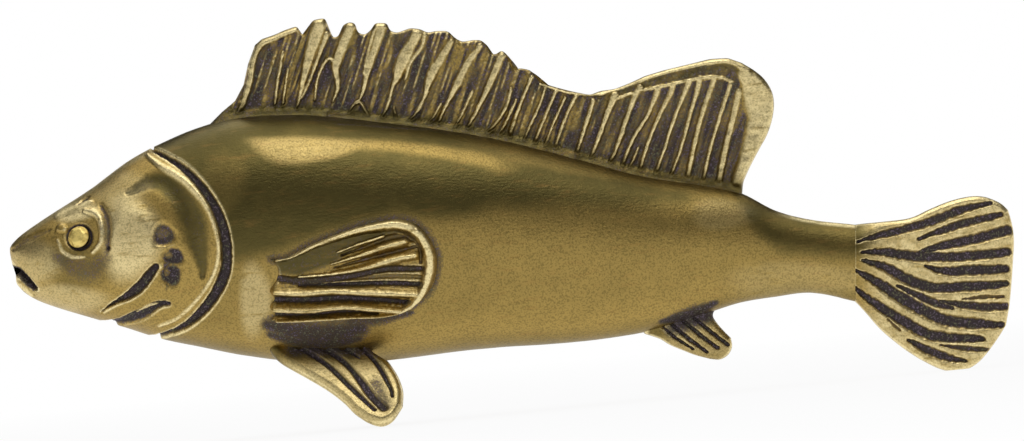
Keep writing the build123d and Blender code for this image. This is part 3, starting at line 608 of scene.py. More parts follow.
def skin_tone(x, z, belly, band, crescent):
    """Behind the gill the darker of upper flank and middle, or the head's painted shade where darker."""
    at = drawn_column(x)
    # The upper flank is darker, partly as finish and partly as painted shade and reflection. It is lifted
    # in the painted highlight band, lighter above the crest line toward the rear, and lighter toward the
    # stalk's end and behind the gill slot's top.
    dark = above(x, z, DARK_LOW, 4.0) * (1 - band * (1 - ease(460, 540, at)))
    dark = dark * (1 - 0.35 * ease(430, 520, at) * above(x, z, CREST, 1.2))
    dark = dark * (1 - 0.15 * ease(740, 780, at)) * (1 - 0.25 * blob(x, z, (226, 182), 60, 80))
    # A little darker above the low middle line, and darker toward the belly's lower edge.
    middle = np.maximum(0.24 * above(x, z, MIDDLE_LOW, 5.0), 0.4 * (1 - ease(0.3, 2.5, z - belly)))
    # Painted shade in the crescent and under the eye, and darker on the side of the snout.
    under_eye_shade, snout_side = blob(x, z, (82, 268), 96, 62), blob(x, z, (48, 258), 60, 36)
    head = 0.95 * crescent + 0.50 * under_eye_shade + 0.20 * snout_side
    return np.maximum(behind_gill(x, z) * np.maximum(dark, middle), head)


def skin_wear(x, z, back, band, rise, proud, recess):
    """The greatest of ridges, painted highlight on the back's edge, sharp relief, and patches where no
    patina lies, partly rubbed and partly painted highlight.
    """
    at = drawn_column(x)
    # Painted highlights along the top edge of the stalk and of the head.
    stalk_edge_highlight = (1 - ease(0.1, 0.6, back - z)) * ease(770, 800, at)
    head_edge_highlight = 0.75 * (1 - ease(0.1, 1.0, back - z)) * (1 - ease(146, 152, at)) * ease(14, 30, at)
    wear = np.maximum(np.maximum(proud, np.maximum(stalk_edge_highlight, head_edge_highlight)),
                      ease(0.05, 0.2, rise - softened(rise, 6)))
    patches = sum(share * blob(x, z, centre, across, tall) for centre, across, tall, share in RUBBED_AND_HIGHLIT)
    # A little painted highlight in the front of the band under the dorsal fin.
    patches = patches + 0.12 * band * behind_gill(x, z) * (1 - ease(320, 400, at))
    return np.maximum(wear, patches * (1 - recess))


def body_marks(x, z, rise, recess, proud):
    """Tone, wear and patina of the skin, with painted shade and highlight in them. The patina mark is the
    greatest of the cuts' patina and the painted shadows.
    """
    back, belly = section(x)[:2]
    band = painted_highlight_band(x, z)
    crescent = stroke(x, z, CRESCENT, CRESCENT_WIDTHS, 0.35, 0.12)
    paddle, _ = near(x, z, PADDLE_EDGE)
    foot, _ = near(x, z, DORSAL_LINE)
    in_front = 1 - 0.6 * ease(400, 600, drawn_column(x))
    # Painted shade: in the crescent, the listed shadows, round the side fin's edge and along the dorsal
    # fin's foot, darker in front.
    for shadow in (0.3 * crescent, strokes(x, z, SHADOWED, 0.1), 0.62 * (1 - ease(0.1, 1.3, paddle)),
                   0.42 * in_front * (1 - ease(0.2, 1.8, foot))):
        recess = np.maximum(recess, shadow)
    # More painted shade along the dorsal fin's foot, darker in front.
    tone = np.maximum(skin_tone(x, z, belly, band, crescent), in_front * (1 - ease(1.4, 2.8, foot)))
    return tone, skin_wear(x, z, back, band, rise, proud, recess), recess


print("rubbed patches:", len(RUBBED_AND_HIGHLIT), "and shadows:", len(SHADOWED))

# %% [markdown]
# A half casting is a ring swept along the fish: out over the flank from the back to the belly, then
# back up the seam, or round the inside wall where the trunk is hollow. Points are packed closer in
# the head, where the cutting is fine. Relief is pushed along the skin's own normal, found from the
# cross product of the grid's two directions, so a groove that meets the profile notches it too.

# %% Skin of a half
HEAD_END = 31.0
HEAD_COLUMNS = 206
TRUNK_COLUMNS = 236
END_STEP = 0.02
FLANK_ROWS = 204
CROWDED = 0.12
UNEVEN = [(0.018, 3.4, 5), (0.006, 0.9, 6)]


def half_stations():
    """Places along the fish: close steps in the head, wider ones behind, and one just before the end."""
    head = np.linspace(0, HEAD_END, HEAD_COLUMNS)
    stations = np.concatenate([head, np.linspace(HEAD_END, BODY_LENGTH, TRUNK_COLUMNS)[1:]])
    stations[-2] = BODY_LENGTH - END_STEP
    return stations


def outward(skin):
    """Unit normal: the cross product of the grid's two directions, kept in the seam where they meet it."""
    normal = np.cross(np.gradient(skin, axis=1), np.gradient(skin, axis=0))
    normal /= np.maximum(np.linalg.norm(normal, axis=-1, keepdims=True), 1e-9)
    normal *= np.sign(normal[len(normal) // 2, FLANK_ROWS // 2, 1])
    normal[:, [0, -1], 1] = 0
    return normal


def outer_skin(stations, profile, nose):
    """Height by the turn's sine, width by its cosine, and the relief pushed out along the normal."""
    back, belly, widest, half = profile
    turn = np.linspace(np.pi / 2, -np.pi / 2, FLANK_ROWS)
    turn = turn - CROWDED * np.sin(2 * turn)
    x = np.repeat(stations[:, None], FLANK_ROWS, axis=1)
    z = widest + np.where(turn > 0, back - widest, widest - belly) * np.sin(turn) * nose
    skin = np.stack([x, half * np.cos(turn) * nose, z], axis=-1)
    rise, recess, proud = chased(x, z)
    tone, wear, recess = body_marks(x, z, rise, recess, proud)
    rise = rise + sum(depth * wander(x, z, size, seed) for depth, size, seed in UNEVEN)
    skin = skin + outward(skin) * (rise * ease(0, 0.5, x))[..., None]
    skin[:, [0, -1], 1] = 0
    return skin, {"recess": recess, "wear": wear, "tone": tone}


print("steps along the head are", round(HEAD_END / (HEAD_COLUMNS - 1), 2), "mm")

# %% Half castings
WALL = 2.2
HOLLOW = (0.30, 0.72)
WALL_ROWS = 13
SEAM_SHARE = 0.9
ROUNDING, BLUNT = 0.4, 0.55
HIDDEN = {"recess": 0.3, "wear": 0.0, "tone": 0.4}


def inner_wall(stations, profile, nose):
    """From belly to back round the inside where the trunk is hollow, and straight up the seam elsewhere."""
    back, belly, widest, half = profile
    turn = np.linspace(-np.pi / 2, np.pi / 2, WALL_ROWS)
    share = stations[:, None] / BODY_LENGTH
    cavity = (share > HOLLOW[0]) & (share < HOLLOW[1])
    reach = np.where(turn > 0, back - widest, widest - belly)
    z = np.where(cavity, (reach - WALL) * np.sin(turn), reach * np.sin(turn) * nose * SEAM_SHARE)
    y = np.where(cavity, (half - WALL) * np.cos(turn), 0)
    return np.stack([np.repeat(stations[:, None], WALL_ROWS, axis=1), y, widest + z], axis=-1)


def half_casting(side):
    """Points, faces and marks of a half, on the left for side -1 and on the right for side 1."""
    stations = half_stations()
    profile = [line[:, None] for line in section(stations)]
    run = np.clip(stations[:, None] / ROUNDING, 0, 1)
    nose = BLUNT + (1 - BLUNT) * np.sqrt(1 - (1 - run) ** 2)
    skin, marks = outer_skin(stations, profile, nose)
    inner = inner_wall(stations, profile, nose)
    for name, field in marks.items():
        marks[name] = np.hstack([field, np.full(inner.shape[:2], HIDDEN[name])])
    ring = np.concatenate([skin, inner], axis=1)
    ring[..., 1] *= side
    index = np.arange(ring[..., 0].size).reshape(ring.shape[:2])
    points = placed(*np.moveaxis(ring, -1, 0)).reshape(-1, 3)
    return points, ring_faces(index), marks, [index[0], index[-1][::-1]]


for name, side in (("left", -1), ("right", 1)):
    points, faces, marks, caps = half_casting(side)
    make_piece(f"{name}_casting", f"{name}_half", points, faces, marks, caps)

# %% [markdown]
# The other fins are plates. A plate's outline is four edge curves, and a Coons patch fills it: each
# grid point is the blend of the two side curves plus the blend of the top and bottom ones, less the
# blend of the corners. The two faces share the rim's points, so the plate is closed, and its half
# thickness eases to nothing at the rim as a quarter circle, which rounds the edge.

# %% Patches and plates
RIM_POINTS = 500


def patch(left, right, bottom, top, columns, rows):
    """Coons patch between four edges, each given from its lower or left end."""
    left, right = even(left, rows), even(right, rows)
    bottom, top = even(bottom, columns), even(top, columns)
    u = np.linspace(0, 1, columns)[:, None, None]
    v = np.linspace(0, 1, rows)[None, :, None]
    sides = (1 - u) * left[None] + u * right[None]
    ends = (1 - v) * bottom[:, None] + v * top[:, None]
    corners = ((1 - u) * (1 - v) * bottom[0] + u * (1 - v) * bottom[-1]
               + (1 - u) * v * top[0] + u * v * top[-1])
    return sides + ends - corners


def rim_of(grid):
    """The outline of a grid, once round."""
    return np.vstack([grid[:, 0], grid[-1, 1:], grid[-2::-1, -1], grid[0, -2::-1]])


def open_rim(grid):
    """The outline of a grid without its left edge, where the plate runs on into the body."""
    return np.vstack([grid[:, 0], grid[-1, 1:], grid[-2::-1, -1]])


def rounding(grid, radius, outline=rim_of):
    """0 at the rim, rising as a quarter circle to 1 at one radius in."""
    rim = even(outline(grid), RIM_POINTS)
    gap, _ = near(grid[..., 0], grid[..., 1], rim)
    t = np.clip(gap / radius, 0, 1)
    return np.sqrt(1 - (1 - t) ** 2), gap


def plate_mesh(near_side, far_side):
    """Points and faces of a closed plate from the two sides' grids, which share the rim's points."""
    columns, rows = near_side.shape[:2]
    front = np.arange(columns * rows).reshape(columns, rows)
    behind = front.copy()
    inner = (columns - 2) * (rows - 2)
    behind[1:-1, 1:-1] = columns * rows + np.arange(inner).reshape(columns - 2, rows - 2)
    points = np.vstack([near_side.reshape(-1, 3), far_side[1:-1, 1:-1].reshape(-1, 3)])
    return points, np.vstack([grid_faces(front), grid_faces(behind)[:, ::-1]])


def make_plate(name, node, sides, **fields):
    """A piece from the grids of a plate's two sides, and marks that are the same on each side."""
    points, faces = plate_mesh(*sides)
    marks = {mark: np.concatenate([f.ravel(), f[1:-1, 1:-1].ravel()]) for mark, f in fields.items()}
    make_piece(name, node, points, faces, marks)


square = [[(0, 0), (0, 1)], [(1, 0), (1, 1)], [(0, 0), (1, 0)], [(0, 1), (1, 1)]]
print("the middle of a square patch:", patch(*(np.array(edge, float) for edge in square), 3, 3)[1, 1])

# %% [markdown]
# The dorsal fin is the showpiece: stout spines with thin webs between them in front, then a lobe of
# soft rays. On the casting the webs lie deep and dark, and each spine or ray is a bright uneven ridge.
# The web is the plate's own thickness, and every ridge is a stroke that lifts it toward the full
# thickness, which tapers to the tip. A fillet of braze runs round the foot, as wide as its height.

# %% Outline and ridges of the dorsal fin
DORSAL_FRONT = [(207, 127), (222, 112), (235, 101), (243.5, 85), (248, 64), (255, 45), (262, 39)]
DORSAL_TOP = [(262, 39), (274, 35), (285, 30), (297, 26), (303, 36), (308, 27), (313, 20), (325, 18),
              (329, 28), (333, 38), (338, 37), (343, 25), (349, 22), (355, 23), (358, 33), (365, 35),
              (371, 30), (375, 23), (387, 23), (390, 31), (397, 33), (405, 30), (410, 28), (420, 29),
              (428, 33), (435, 31), (448, 31), (455, 38), (462, 42), (473, 40), (481, 40), (488, 46),
              (493, 55), (497, 54), (501, 50), (507, 54), (510, 62), (513, 70), (520, 68), (530, 70),
              (537, 77), (542, 83), (555, 87), (570, 91), (590, 95), (600, 91), (615, 89), (630, 83),
              (645, 76), (665, 70), (690, 64), (710, 59), (728, 58), (742, 63)]
DORSAL_HIND = [(743, 185), (745, 178), (752, 163), (760, 148), (767, 135), (772, 120), (774, 105),
               (772, 92), (765, 80), (755, 71), (742, 63)]
RIDGES = [
    ([(236, 118), (243, 104), (250, 82), (253, 62), (260, 46), (277, 37), (298, 29)],
     [6, 9, 9, 9, 9, 9, 8, 7]),
    ([(275, 104), (278, 80), (283, 52)], [4, 5, 4]), ([(283, 104), (285, 90), (288, 70)], [3, 4, 3]),
    ([(297, 108), (301, 92), (307, 66), (313, 45), (319, 26)], [4, 7, 14, 17, 20]),
    ([(302, 98), (310, 80), (318, 58), (327, 34)], [3, 5, 6, 8]),
    ([(333, 102), (338, 86), (336, 66), (343, 45), (351, 27)], [3, 8, 13, 16, 14]),
    ([(315, 100), (318, 78), (327, 60), (336, 62)], [3, 4, 5, 5]),
    ([(357, 104), (363, 92), (368, 70), (375, 48), (382, 27)], [3, 7, 12, 12, 15]),
    ([(378, 24), (373, 34), (368, 52), (364, 74)], [5, 5, 4, 3]),
    ([(349, 113), (354, 104), (360, 102), (366, 112), (372, 121), (380, 120), (388, 104), (394, 82)],
     [3, 5, 5, 4, 5, 6, 5, 5]),
    ([(395, 84), (399, 70), (404, 58), (411, 45), (417, 34)], [5, 18, 21, 16, 15]),
    ([(425, 34), (421, 48), (411, 62), (405, 80)], [5, 6, 5, 3]),
    ([(394, 108), (397, 120), (404, 123)], [3, 4, 3]),
    ([(418, 112), (424, 98), (430, 78), (440, 60), (451, 42)], [3, 6, 15, 13, 8]),
    ([(402, 122), (412, 118), (421, 104), (428, 92)], [3, 4, 5, 4]),
    ([(439, 121), (447, 104), (457, 85), (466, 66), (480, 46)], [4, 6, 14, 10, 8]),
    ([(422, 126), (431, 120), (441, 104)], [3, 4, 4]),
    ([(468, 127), (476, 112), (486, 92), (494, 74), (499, 62), (503, 54)], [4, 6, 8, 11, 12, 10]),
    ([(484, 135), (496, 123), (506, 107), (511, 90)], [4, 5, 5, 5]),
    ([(454, 128), (463, 112), (472, 92)], [3, 4, 4]),
    ([(508, 145), (512, 128), (522, 100), (532, 77)], [6, 6, 5, 6]),
    ([(496, 140), (506, 122), (516, 100)], [3, 4, 4]),
    ([(521, 147), (530, 126), (540, 104), (545, 88)], [3, 4, 5, 4]),
    ([(532, 150), (538, 134), (549, 107), (557, 89)], [6, 5, 5, 6]),
    ([(553, 156), (558, 138), (568, 112), (577, 94)], [6, 5, 5, 6]),
    ([(544, 148), (554, 122), (565, 98)], [3, 4, 4]),
    ([(574, 163), (579, 146), (588, 118), (593, 101)], [6, 5, 7, 7]),
    ([(588, 164), (599, 137), (608, 112), (615, 95)], [4, 6, 8, 12]),
    ([(594, 150), (601, 128), (606, 112)], [3, 4, 3]),
    ([(606, 170), (617, 147), (626, 120), (634, 98), (640, 87)], [5, 6, 8, 8, 9]),
    ([(618, 176), (632, 141), (646, 118), (654, 100), (658, 88)], [5, 5, 6, 6, 8]),
    ([(638, 177), (648, 143), (660, 114), (670, 94), (673, 84)], [5, 6, 6, 7, 8]),
    ([(653, 180), (664, 150), (673, 122), (681, 101), (689, 82)], [5, 5, 6, 6, 8]),
    ([(629, 168), (634, 158), (638, 148)], [3, 4, 3]),
    ([(668, 183), (681, 148), (689, 118), (697, 91), (700, 78)], [5, 5, 6, 6, 8]),
    ([(686, 186), (695, 142), (703, 111), (714, 80)], [7, 8, 8, 7]),
    ([(701, 190), (709, 154), (718, 122), (730, 85)], [5, 6, 6, 6]),
    ([(717, 193), (724, 154), (731, 126), (739, 92)], [10, 10, 10, 9]),
    ([(735, 198), (740, 180), (747, 164), (752, 148), (758, 132), (762, 116), (758, 98), (752, 84),
      (744, 75)], [24, 24, 28, 32, 38, 42, 50, 44, 20]),
    ([(540, 84), (570, 93), (602, 94)], [3, 4, 5]),
    ([(600, 94), (630, 84), (665, 72), (698, 64), (730, 61), (746, 69)], [6, 6, 6, 7, 8, 13]),
    ([(612, 100), (640, 91), (668, 85), (696, 79), (718, 77), (732, 82)], [6, 3, 6, 3, 6, 4]),
]
print("ridges on the dorsal fin:", len(RIDGES))

# %% Dorsal fin
DORSAL_COLUMNS = 520
DORSAL_ROWS = 92
DORSAL_SUNK = 24
DORSAL_HEIGHT = 17.3
DORSAL_ROOT, DORSAL_TIP, DORSAL_WEB = 1.5, 0.85, 0.55
FILLET = 2.0


def dorsal_grid():
    """Patch from a line inside the back up to the fin's outline, whose top is averaged eight times."""
    front = [(212, 142), *DORSAL_FRONT]
    hind = [(741, 216), (742, 198), *DORSAL_HIND]
    under = [(across, down + DORSAL_SUNK) for across, down in DORSAL_FOOT[1:-1]]
    top = even(drawn(DORSAL_TOP), DORSAL_COLUMNS)
    for _ in range(8):
        top[1:-1] = (top[:-2] + 2 * top[1:-1] + top[2:]) / 4
    bottom = curve(drawn([front[0], *under, hind[0]]), 80)
    return patch(drawn(front), curve(drawn(hind), 80), bottom, top, DORSAL_COLUMNS, DORSAL_ROWS)


def fillet(x, z, up):
    """What the braze adds round the foot: a quarter circle's hollow, smaller toward the rear."""
    low = np.clip((FILLET - 0.9 - up + 0.2 * wander(x, z, 1.3, 19)) / FILLET, 0, 1)
    rear = ease(610, 735, drawn_column(x))
    return FILLET * (1 - 0.85 * rear) * (1 - np.sqrt(np.clip(1 - low**2, 0, 1)))


def dorsal_fin():
    """Both sides of the fin: the web's thickness, lifted by the ridges and eased at the rim."""
    grid = dorsal_grid()
    x, z = grid[..., 0], grid[..., 1]
    up = z - section(x)[0]
    full = DORSAL_ROOT + (DORSAL_TIP - DORSAL_ROOT) * ease(0, 0.8, up / DORSAL_HEIGHT)
    ridge = strokes(x, z, RIDGES, 0.3)
    streaks = wander(x - 0.35 * z, z / 6, 0.42, 11)
    ridge = ridge * (0.88 + 0.12 * wander(x, z, 0.7, 14))
    lobe = ease(575, 625, drawn_column(x))
    light = ease(-0.3, 0.7, wander(x - 0.32 * z, z / 9, 0.30, 17)) * (1 - 0.6 * lobe)
    rough_web = (0.14 * light + 0.05 * streaks + 0.07 * wander(x, z, 0.28, 15)) * (1 - ridge)
    near_foot = 1 - ease(0.3, 1.3, up)
    half = DORSAL_WEB + (full - DORSAL_WEB) * ridge + rough_web
    half = half * (1 - near_foot) + (DORSAL_WEB + 0.25) * near_foot + fillet(x, z, up)
    edge, gap = rounding(grid, 0.55)
    half = half * edge
    half = np.where(up < -1.0, np.minimum(half, 0.7), half)

    recess = (1 - ease(0.12, 0.65, ridge)) * ease(0.0, 0.3, gap) * (1 - near_foot)
    band = lobe * (1 - ease(1.0, 2.4, gap)) * (1 - ridge)
    recess = recess * (0.76 + 0.18 * streaks) * (1 - 0.62 * light) * (1 - 0.35 * band)
    # Along the foot, where the fin meets the back, patina in the corner and painted shade.
    recess = np.maximum(recess, (0.38 + 0.08 * wander(x, z, 0.5, 20)) * (1 - ease(0.3, 1.5, up)))
    patchy = 0.88 + 0.12 * wander(x, z, 0.5, 16)
    wear = np.maximum(ease(0.02, 0.14, half - softened(half, 5)), 0.85 * ease(0.42, 0.8, ridge))
    wear = wear * patchy * ease(0.5, 3.0, up)
    in_front = 1 - ease(380, 560, drawn_column(x))
    # Painted shade at the foot, darker in front.
    foot_tone = (0.9 + 0.1 * in_front) * (1 - ease(0.8, 2.6, up))
    tone = np.maximum(0.3 + 0.6 * band + 0.3 * wander(x, z, 1.3, 13), foot_tone)
    sides = [placed(x, y, z) for y in (-half, half)]
    make_plate("spined_dorsal", "dorsal_fin", sides, recess=recess, wear=wear, tone=tone)


dorsal_fin()

# %% [markdown]
# The tail is a fan of wavy rays cut with a round-nosed tool, each groove a little different. Its root
# swells to the oval of the stalk, so no step shows where the two meet. A flat plate would be simpler,
# but it would end in such a step. So the half thickness is a profile along the fin times an oval across
# it, and the oval eases into a plate's rounded edge.

# %% Tail fin
TAIL_TOP = [(851, 226.5), (856, 224.6), (870, 223), (885, 221.5), (910, 218), (930, 209), (950, 201),
            (970, 196.5), (985, 197), (1000, 203), (1008, 210)]
TAIL_END = [(1006, 325), (1009, 308), (1011, 290), (1013, 262), (1014, 240), (1012, 224), (1008, 210)]
TAIL_LOW = [(851, 298), (856, 302.5), (865, 312), (880, 329), (895, 342), (910, 353), (925, 362),
            (940, 369), (955, 372), (968, 369), (980, 361), (991, 348), (1000, 335), (1006, 325)]
TAIL_CUTS = [
    ([(857, 242), (880, 235), (905, 229), (935, 220), (960, 210), (990, 203)], [2, 7, 8, 9, 8, 4], 0.9),
    ([(918, 239), (940, 231), (965, 223), (1000, 215)], [3, 7, 8, 6], 0.9),
    ([(920, 252), (945, 245), (975, 239), (1008, 230)], [4, 9, 10, 10], 1.0),
    ([(862, 252), (885, 252), (910, 256), (950, 257), (980, 255), (1007, 252)], [3, 9, 10, 9, 10, 9], 1.0),
    ([(925, 266), (945, 271), (975, 270), (1005, 269)], [3, 9, 10, 8], 1.0),
    ([(862, 260), (885, 267), (905, 278), (930, 287), (960, 287), (1006, 284)], [3, 9, 11, 9, 10, 6], 1.0),
    ([(897, 286), (915, 294), (935, 303), (952, 308)], [3, 7, 8, 4], 0.9),
    ([(940, 301), (965, 305), (985, 307), (1006, 306)], [3, 7, 9, 7], 0.9),
    ([(962, 299), (985, 297), (1003, 297)], [2, 4, 3], 0.7),
    ([(855, 270), (875, 281), (900, 297), (925, 311), (950, 321), (1003, 325)],
     [3, 10, 12, 11, 11, 5], 1.0),
    ([(852, 286), (870, 300), (890, 313), (910, 325), (935, 336), (982, 339)], [3, 8, 10, 10, 10, 6], 1.0),
    ([(940, 345), (962, 348), (988, 350)], [2, 6, 4], 0.8),
    ([(888, 319), (894, 325), (901, 331)], [2, 3, 2], 0.6),
    ([(908, 340), (930, 351), (950, 358), (966, 361)], [3, 8, 8, 3], 0.9),
]
TAIL_LENGTH = 20.3
TAIL_SWELL = [(0.0, 2.63), (0.12, 1.96), (0.34, 1.36), (1.0, 0.85)]
TAIL_COLUMNS = 240
TAIL_ROWS = 200


def tail_fin():
    """Both sides: a thickness that thins toward the edge, times an oval that turns to a plate."""
    grid = patch(drawn([TAIL_LOW[0], TAIL_TOP[0]]), curve(drawn(TAIL_END), 60),
                 curve(drawn(TAIL_LOW), 80), curve(drawn(TAIL_TOP), 60), TAIL_COLUMNS, TAIL_ROWS)
    x, z = grid[..., 0], grid[..., 1]
    widest = float(section(np.array(BODY_LENGTH))[2])
    swell = np.array(TAIL_SWELL)
    run = (x - BODY_LENGTH) / TAIL_LENGTH
    plan = np.interp(run, swell[:, 0], swell[:, 1])
    reach = np.where(z > widest, z[:, -1:] - widest, widest - z[:, :1])
    oval = np.sqrt(np.clip(1 - ((z - widest) / np.maximum(reach, 0.1)) ** 2, 0, 1))
    cut = strokes(x, z, TAIL_CUTS, 0.35, ragged=0.09, wider=1.45)
    edge, gap = rounding(grid, 0.6, open_rim)
    flat = ease(0, 0.32, run)
    half = plan * (oval * (1 - flat) + edge * flat) - 0.12 * (run < 0)
    half = half - 0.5 * cut * edge + 0.02 * wander(x, z, 0.7, 21) * edge
    half = np.maximum(half, 0)
    half[:, [0, -1]] = 0
    half[[0, -1]] = 0
    recess = cut * ease(0, 0.25, gap)
    rubbed = (0.55 + 0.25 * wander(x, z, 0.6, 23)) * (1 - ease(0.2, 0.6, cut)) * ease(0.0, 0.2, run)
    wear = np.maximum(ease(0.02, 0.16, half - softened(half, 10)), rubbed)
    # Darker above the middle near the root, carrying on the flank's upper darkness, which is part finish
    # and part painted shade and reflection.
    tone = 0.12 + 0.8 * (1 - ease(250, 264, drawn_row(z))) * (1 - ease(0, 0.2, run))
    tone = tone + 0.15 * wander(x, z, 1.8, 22)
    sides = [placed(x, y, z) for y in (-half, half)]
    for points in sides:
        points[..., 2] = np.maximum(points[..., 2], 0)
    make_plate("rayed_tail", "tail_fin", sides, recess=recess, wear=wear, tone=tone)


tail_fin()

# %% [markdown]
# The anal fin is a small leaf under the stalk with four fine cuts. Its foot lies in the seam, and behind
# the first ray its root is darkened with painted shade. It could be cut from sheet, but a leaf that is
# thick in the middle and thin at its rim looks cast, and the same patch makes both.

# %% Anal fin
ANAL_ROOT = [(642, 314), (660, 312), (685, 305), (712, 296), (733, 287)]
ANAL_FRONT = [(642, 314), (641, 325), (644, 333), (650, 335.5), (660, 339), (670, 345), (682, 350),
              (695, 355), (710, 359)]
ANAL_HIND = [(733, 287), (732, 297), (722, 304), (715, 310), (713, 316), (717, 323), (724, 331), (731, 338)]
ANAL_TIP = [(710, 359), (720, 359.5), (728, 355), (732, 347), (731, 338)]
ANAL_CUTS = [
    ([(662, 326), (676, 338), (693, 349)], [3, 4, 3]),
    ([(670, 323), (688, 338), (707, 352)], [4, 6, 4]),
    ([(682, 320), (700, 335), (718, 348)], [4, 6, 5]),
    ([(694, 318), (711, 332), (728, 345)], [4, 6, 5]),
]
ANAL_COLUMNS = 110
ANAL_ROWS = 70


def anal_fin():
    """Both sides of the small fin: a half thickness, less the cuts, times the rounding of the rim."""
    grid = patch(drawn(ANAL_ROOT), curve(drawn(ANAL_TIP), 40), curve(drawn(ANAL_FRONT), 60),
                 curve(drawn(ANAL_HIND), 60), ANAL_COLUMNS, ANAL_ROWS)
    x, z = grid[..., 0], grid[..., 1]
    cut = strokes(x, z, ANAL_CUTS, 0.3)
    edge, _ = rounding(grid, 0.75)
    half = (0.95 - 0.4 * cut) * edge
    root = section(x)[1] - z
    behind = ease(655, 675, drawn_column(x))
    # Painted shade at the root behind the first ray, and a darker tone near the whole root.
    recess = np.maximum(cut, 0.85 * behind * (1 - ease(0.3, 3.0, root)))
    wear = np.maximum(ease(0.02, 0.18, half - softened(half, 8)), 0.2 * (1 - cut) * ease(0.5, 2.5, root))
    tone = 0.3 + 0.3 * (1 - ease(0.5, 2.5, root))
    sides = [placed(x, y, z) for y in (-half, half)]
    make_plate("small_anal_fin", "anal_fin", sides, recess=recess, wear=wear, tone=tone)


anal_fin()

# %% [markdown]
# The side fin lies along the flank like a paddle: a raised rim round its upper edge and tip, a smooth
# dark hollow behind the rim, and long rays that run back from the root. Its inner face follows the
# skin at a hair's gap and its outer face is the same surface moved out by a thickness that the
# strokes change, so the paddle curves with the body.

# %% Pectoral fins
PECTORAL_RIM = [(277, 260), (294, 255.5), (322, 243), (360, 231), (396, 226), (416, 233), (427, 247),
                (430, 264), (425, 284), (414, 300), (400, 309)]
PECTORAL_RAYS = [
    ([(276, 290), (300, 291), (330, 289), (360, 290), (390, 291), (420, 292)], [9, 12, 12, 12, 12, 10]),
    ([(275, 306), (310, 307), (345, 304), (375, 306), (408, 308)], [9, 10, 9, 9, 7]),
    ([(278, 317.5), (310, 316), (345, 314), (376, 313.5), (398, 311)], [4, 5, 5, 5, 4]),
    ([(300, 275), (335, 272), (365, 267), (393, 259), (415, 255)], [3, 5, 8, 13, 12]),
    ([(332, 263), (360, 255), (385, 247), (405, 242)], [3, 5, 11, 12]),
    ([(338, 252), (360, 244), (384, 237)], [2, 4, 4]),
]
PECTORAL_DARK = [
    ([(273, 276), (288, 279), (310, 280.5), (350, 276), (385, 269), (421, 268)],
     [9, 12, 11, 9, 9, 8], 0.85),
    ([(300, 284), (350, 283), (385, 282), (421, 283)], [3, 6, 7, 7], 0.95),
    ([(340, 279), (368, 276), (395, 275), (420, 276)], [3, 7, 8, 6], 0.55),
    ([(273, 298), (310, 298.5), (345, 296.5), (380, 298.5), (416, 301)], [8, 9, 9, 8, 6], 1.0),
    ([(277, 312.5), (310, 312), (345, 309.5), (378, 310)], [6, 6, 5, 4], 0.9),
    ([(335, 267), (368, 258.5), (402, 250), (418, 246)], [2, 4, 5, 4], 0.62),
    ([(342, 255), (368, 246), (393, 237), (416, 239)], [2, 4, 8, 9], 0.6),
    ([(395, 231), (412, 236), (420, 248), (421, 262)], [3, 6, 6, 4], 0.6),
]
PECTORAL_RIM_WIDTHS = [3, 6, 8, 10, 12, 15, 16, 15, 12, 8]
PECTORAL_HOLLOW = [(272, 272), (300, 274), (330, 264), (350, 252), (372, 240), (400, 232), (440, 232)]
PECTORAL_COLUMNS = 250
PECTORAL_ROWS = 150
PECTORAL_FULL = 1.6
GAP = 0.06


def skin_normal(x, z, step=0.05):
    """Outward direction of the left flank's skin, from its slope over a small step each way."""
    dx = (flank(x + step, z) - flank(x - step, z)) / (2 * step)
    dz = (flank(x, z + step) - flank(x, z - step)) / (2 * step)
    normal = np.stack([-dx, np.ones(x.shape), -dz], axis=-1)
    return normal / np.linalg.norm(normal, axis=-1, keepdims=True)


def pectoral_fin(name, side):
    """Paddle on one flank: skin plus its normal times the gap, and plus the gap and the thickness."""
    edges = [curve(drawn(edge), 60) for edge in (PECTORAL_FOOT, PECTORAL_TIP, PECTORAL_LOW, PECTORAL_TOP)]
    grid = patch(*edges, PECTORAL_COLUMNS, PECTORAL_ROWS)
    x, z = grid[..., 0], grid[..., 1]
    edge, gap = rounding(grid, 0.5)
    ray = strokes(x, z, PECTORAL_RAYS, 0.05)
    rim = stroke(x, z, PECTORAL_RIM, PECTORAL_RIM_WIDTHS, 0.2)
    dark = strokes(x, z, PECTORAL_DARK, 0.3)
    level = np.clip(0.42 + 0.58 * np.maximum(0.9 * ray, rim) - 0.36 * dark * (1 - rim), 0, 1)
    thick = (PECTORAL_FULL * level + 0.02 * wander(x, z, 0.6, 31)) * edge
    skin = np.stack([x, flank(x, z), z], axis=-1)
    normal = skin_normal(x, z)

    recess = np.maximum(0.9 * dark * (1 - 0.8 * rim), 0.35 * (1 - ease(0.4, 0.6, level)))
    from_root = ease(0.1, 1.2, x - drawn(PECTORAL_FOOT)[0, 0])
    # Painted shade along the paddle's edge, away from its root.
    recess = np.maximum(recess, 0.7 * from_root * (1 - ease(0.0, 0.16, gap)))
    wear = np.maximum(ease(0.03, 0.22, thick - softened(thick, 10)), np.maximum(rim, 0.75 * ray))
    wear = wear * (0.2 + 0.8 * from_root)
    hollow = above(x, z, PECTORAL_HOLLOW, 0.8) * (1 - rim) * (1 - ray)
    recess = np.maximum(recess, 0.2 * hollow)
    tone = 0.15 + 0.85 * hollow + 0.5 * dark
    sides = []
    for surface in (skin + normal * (GAP + thick[..., None]), skin + normal * GAP):
        surface[..., 1] *= side
        sides.append(placed(*np.moveaxis(surface, -1, 0)))
    make_plate(f"{name}_paddle", f"{name}_pectoral_fin", sides, recess=recess, wear=wear, tone=tone)


pectoral_fin("left", -1)
pectoral_fin("right", 1)

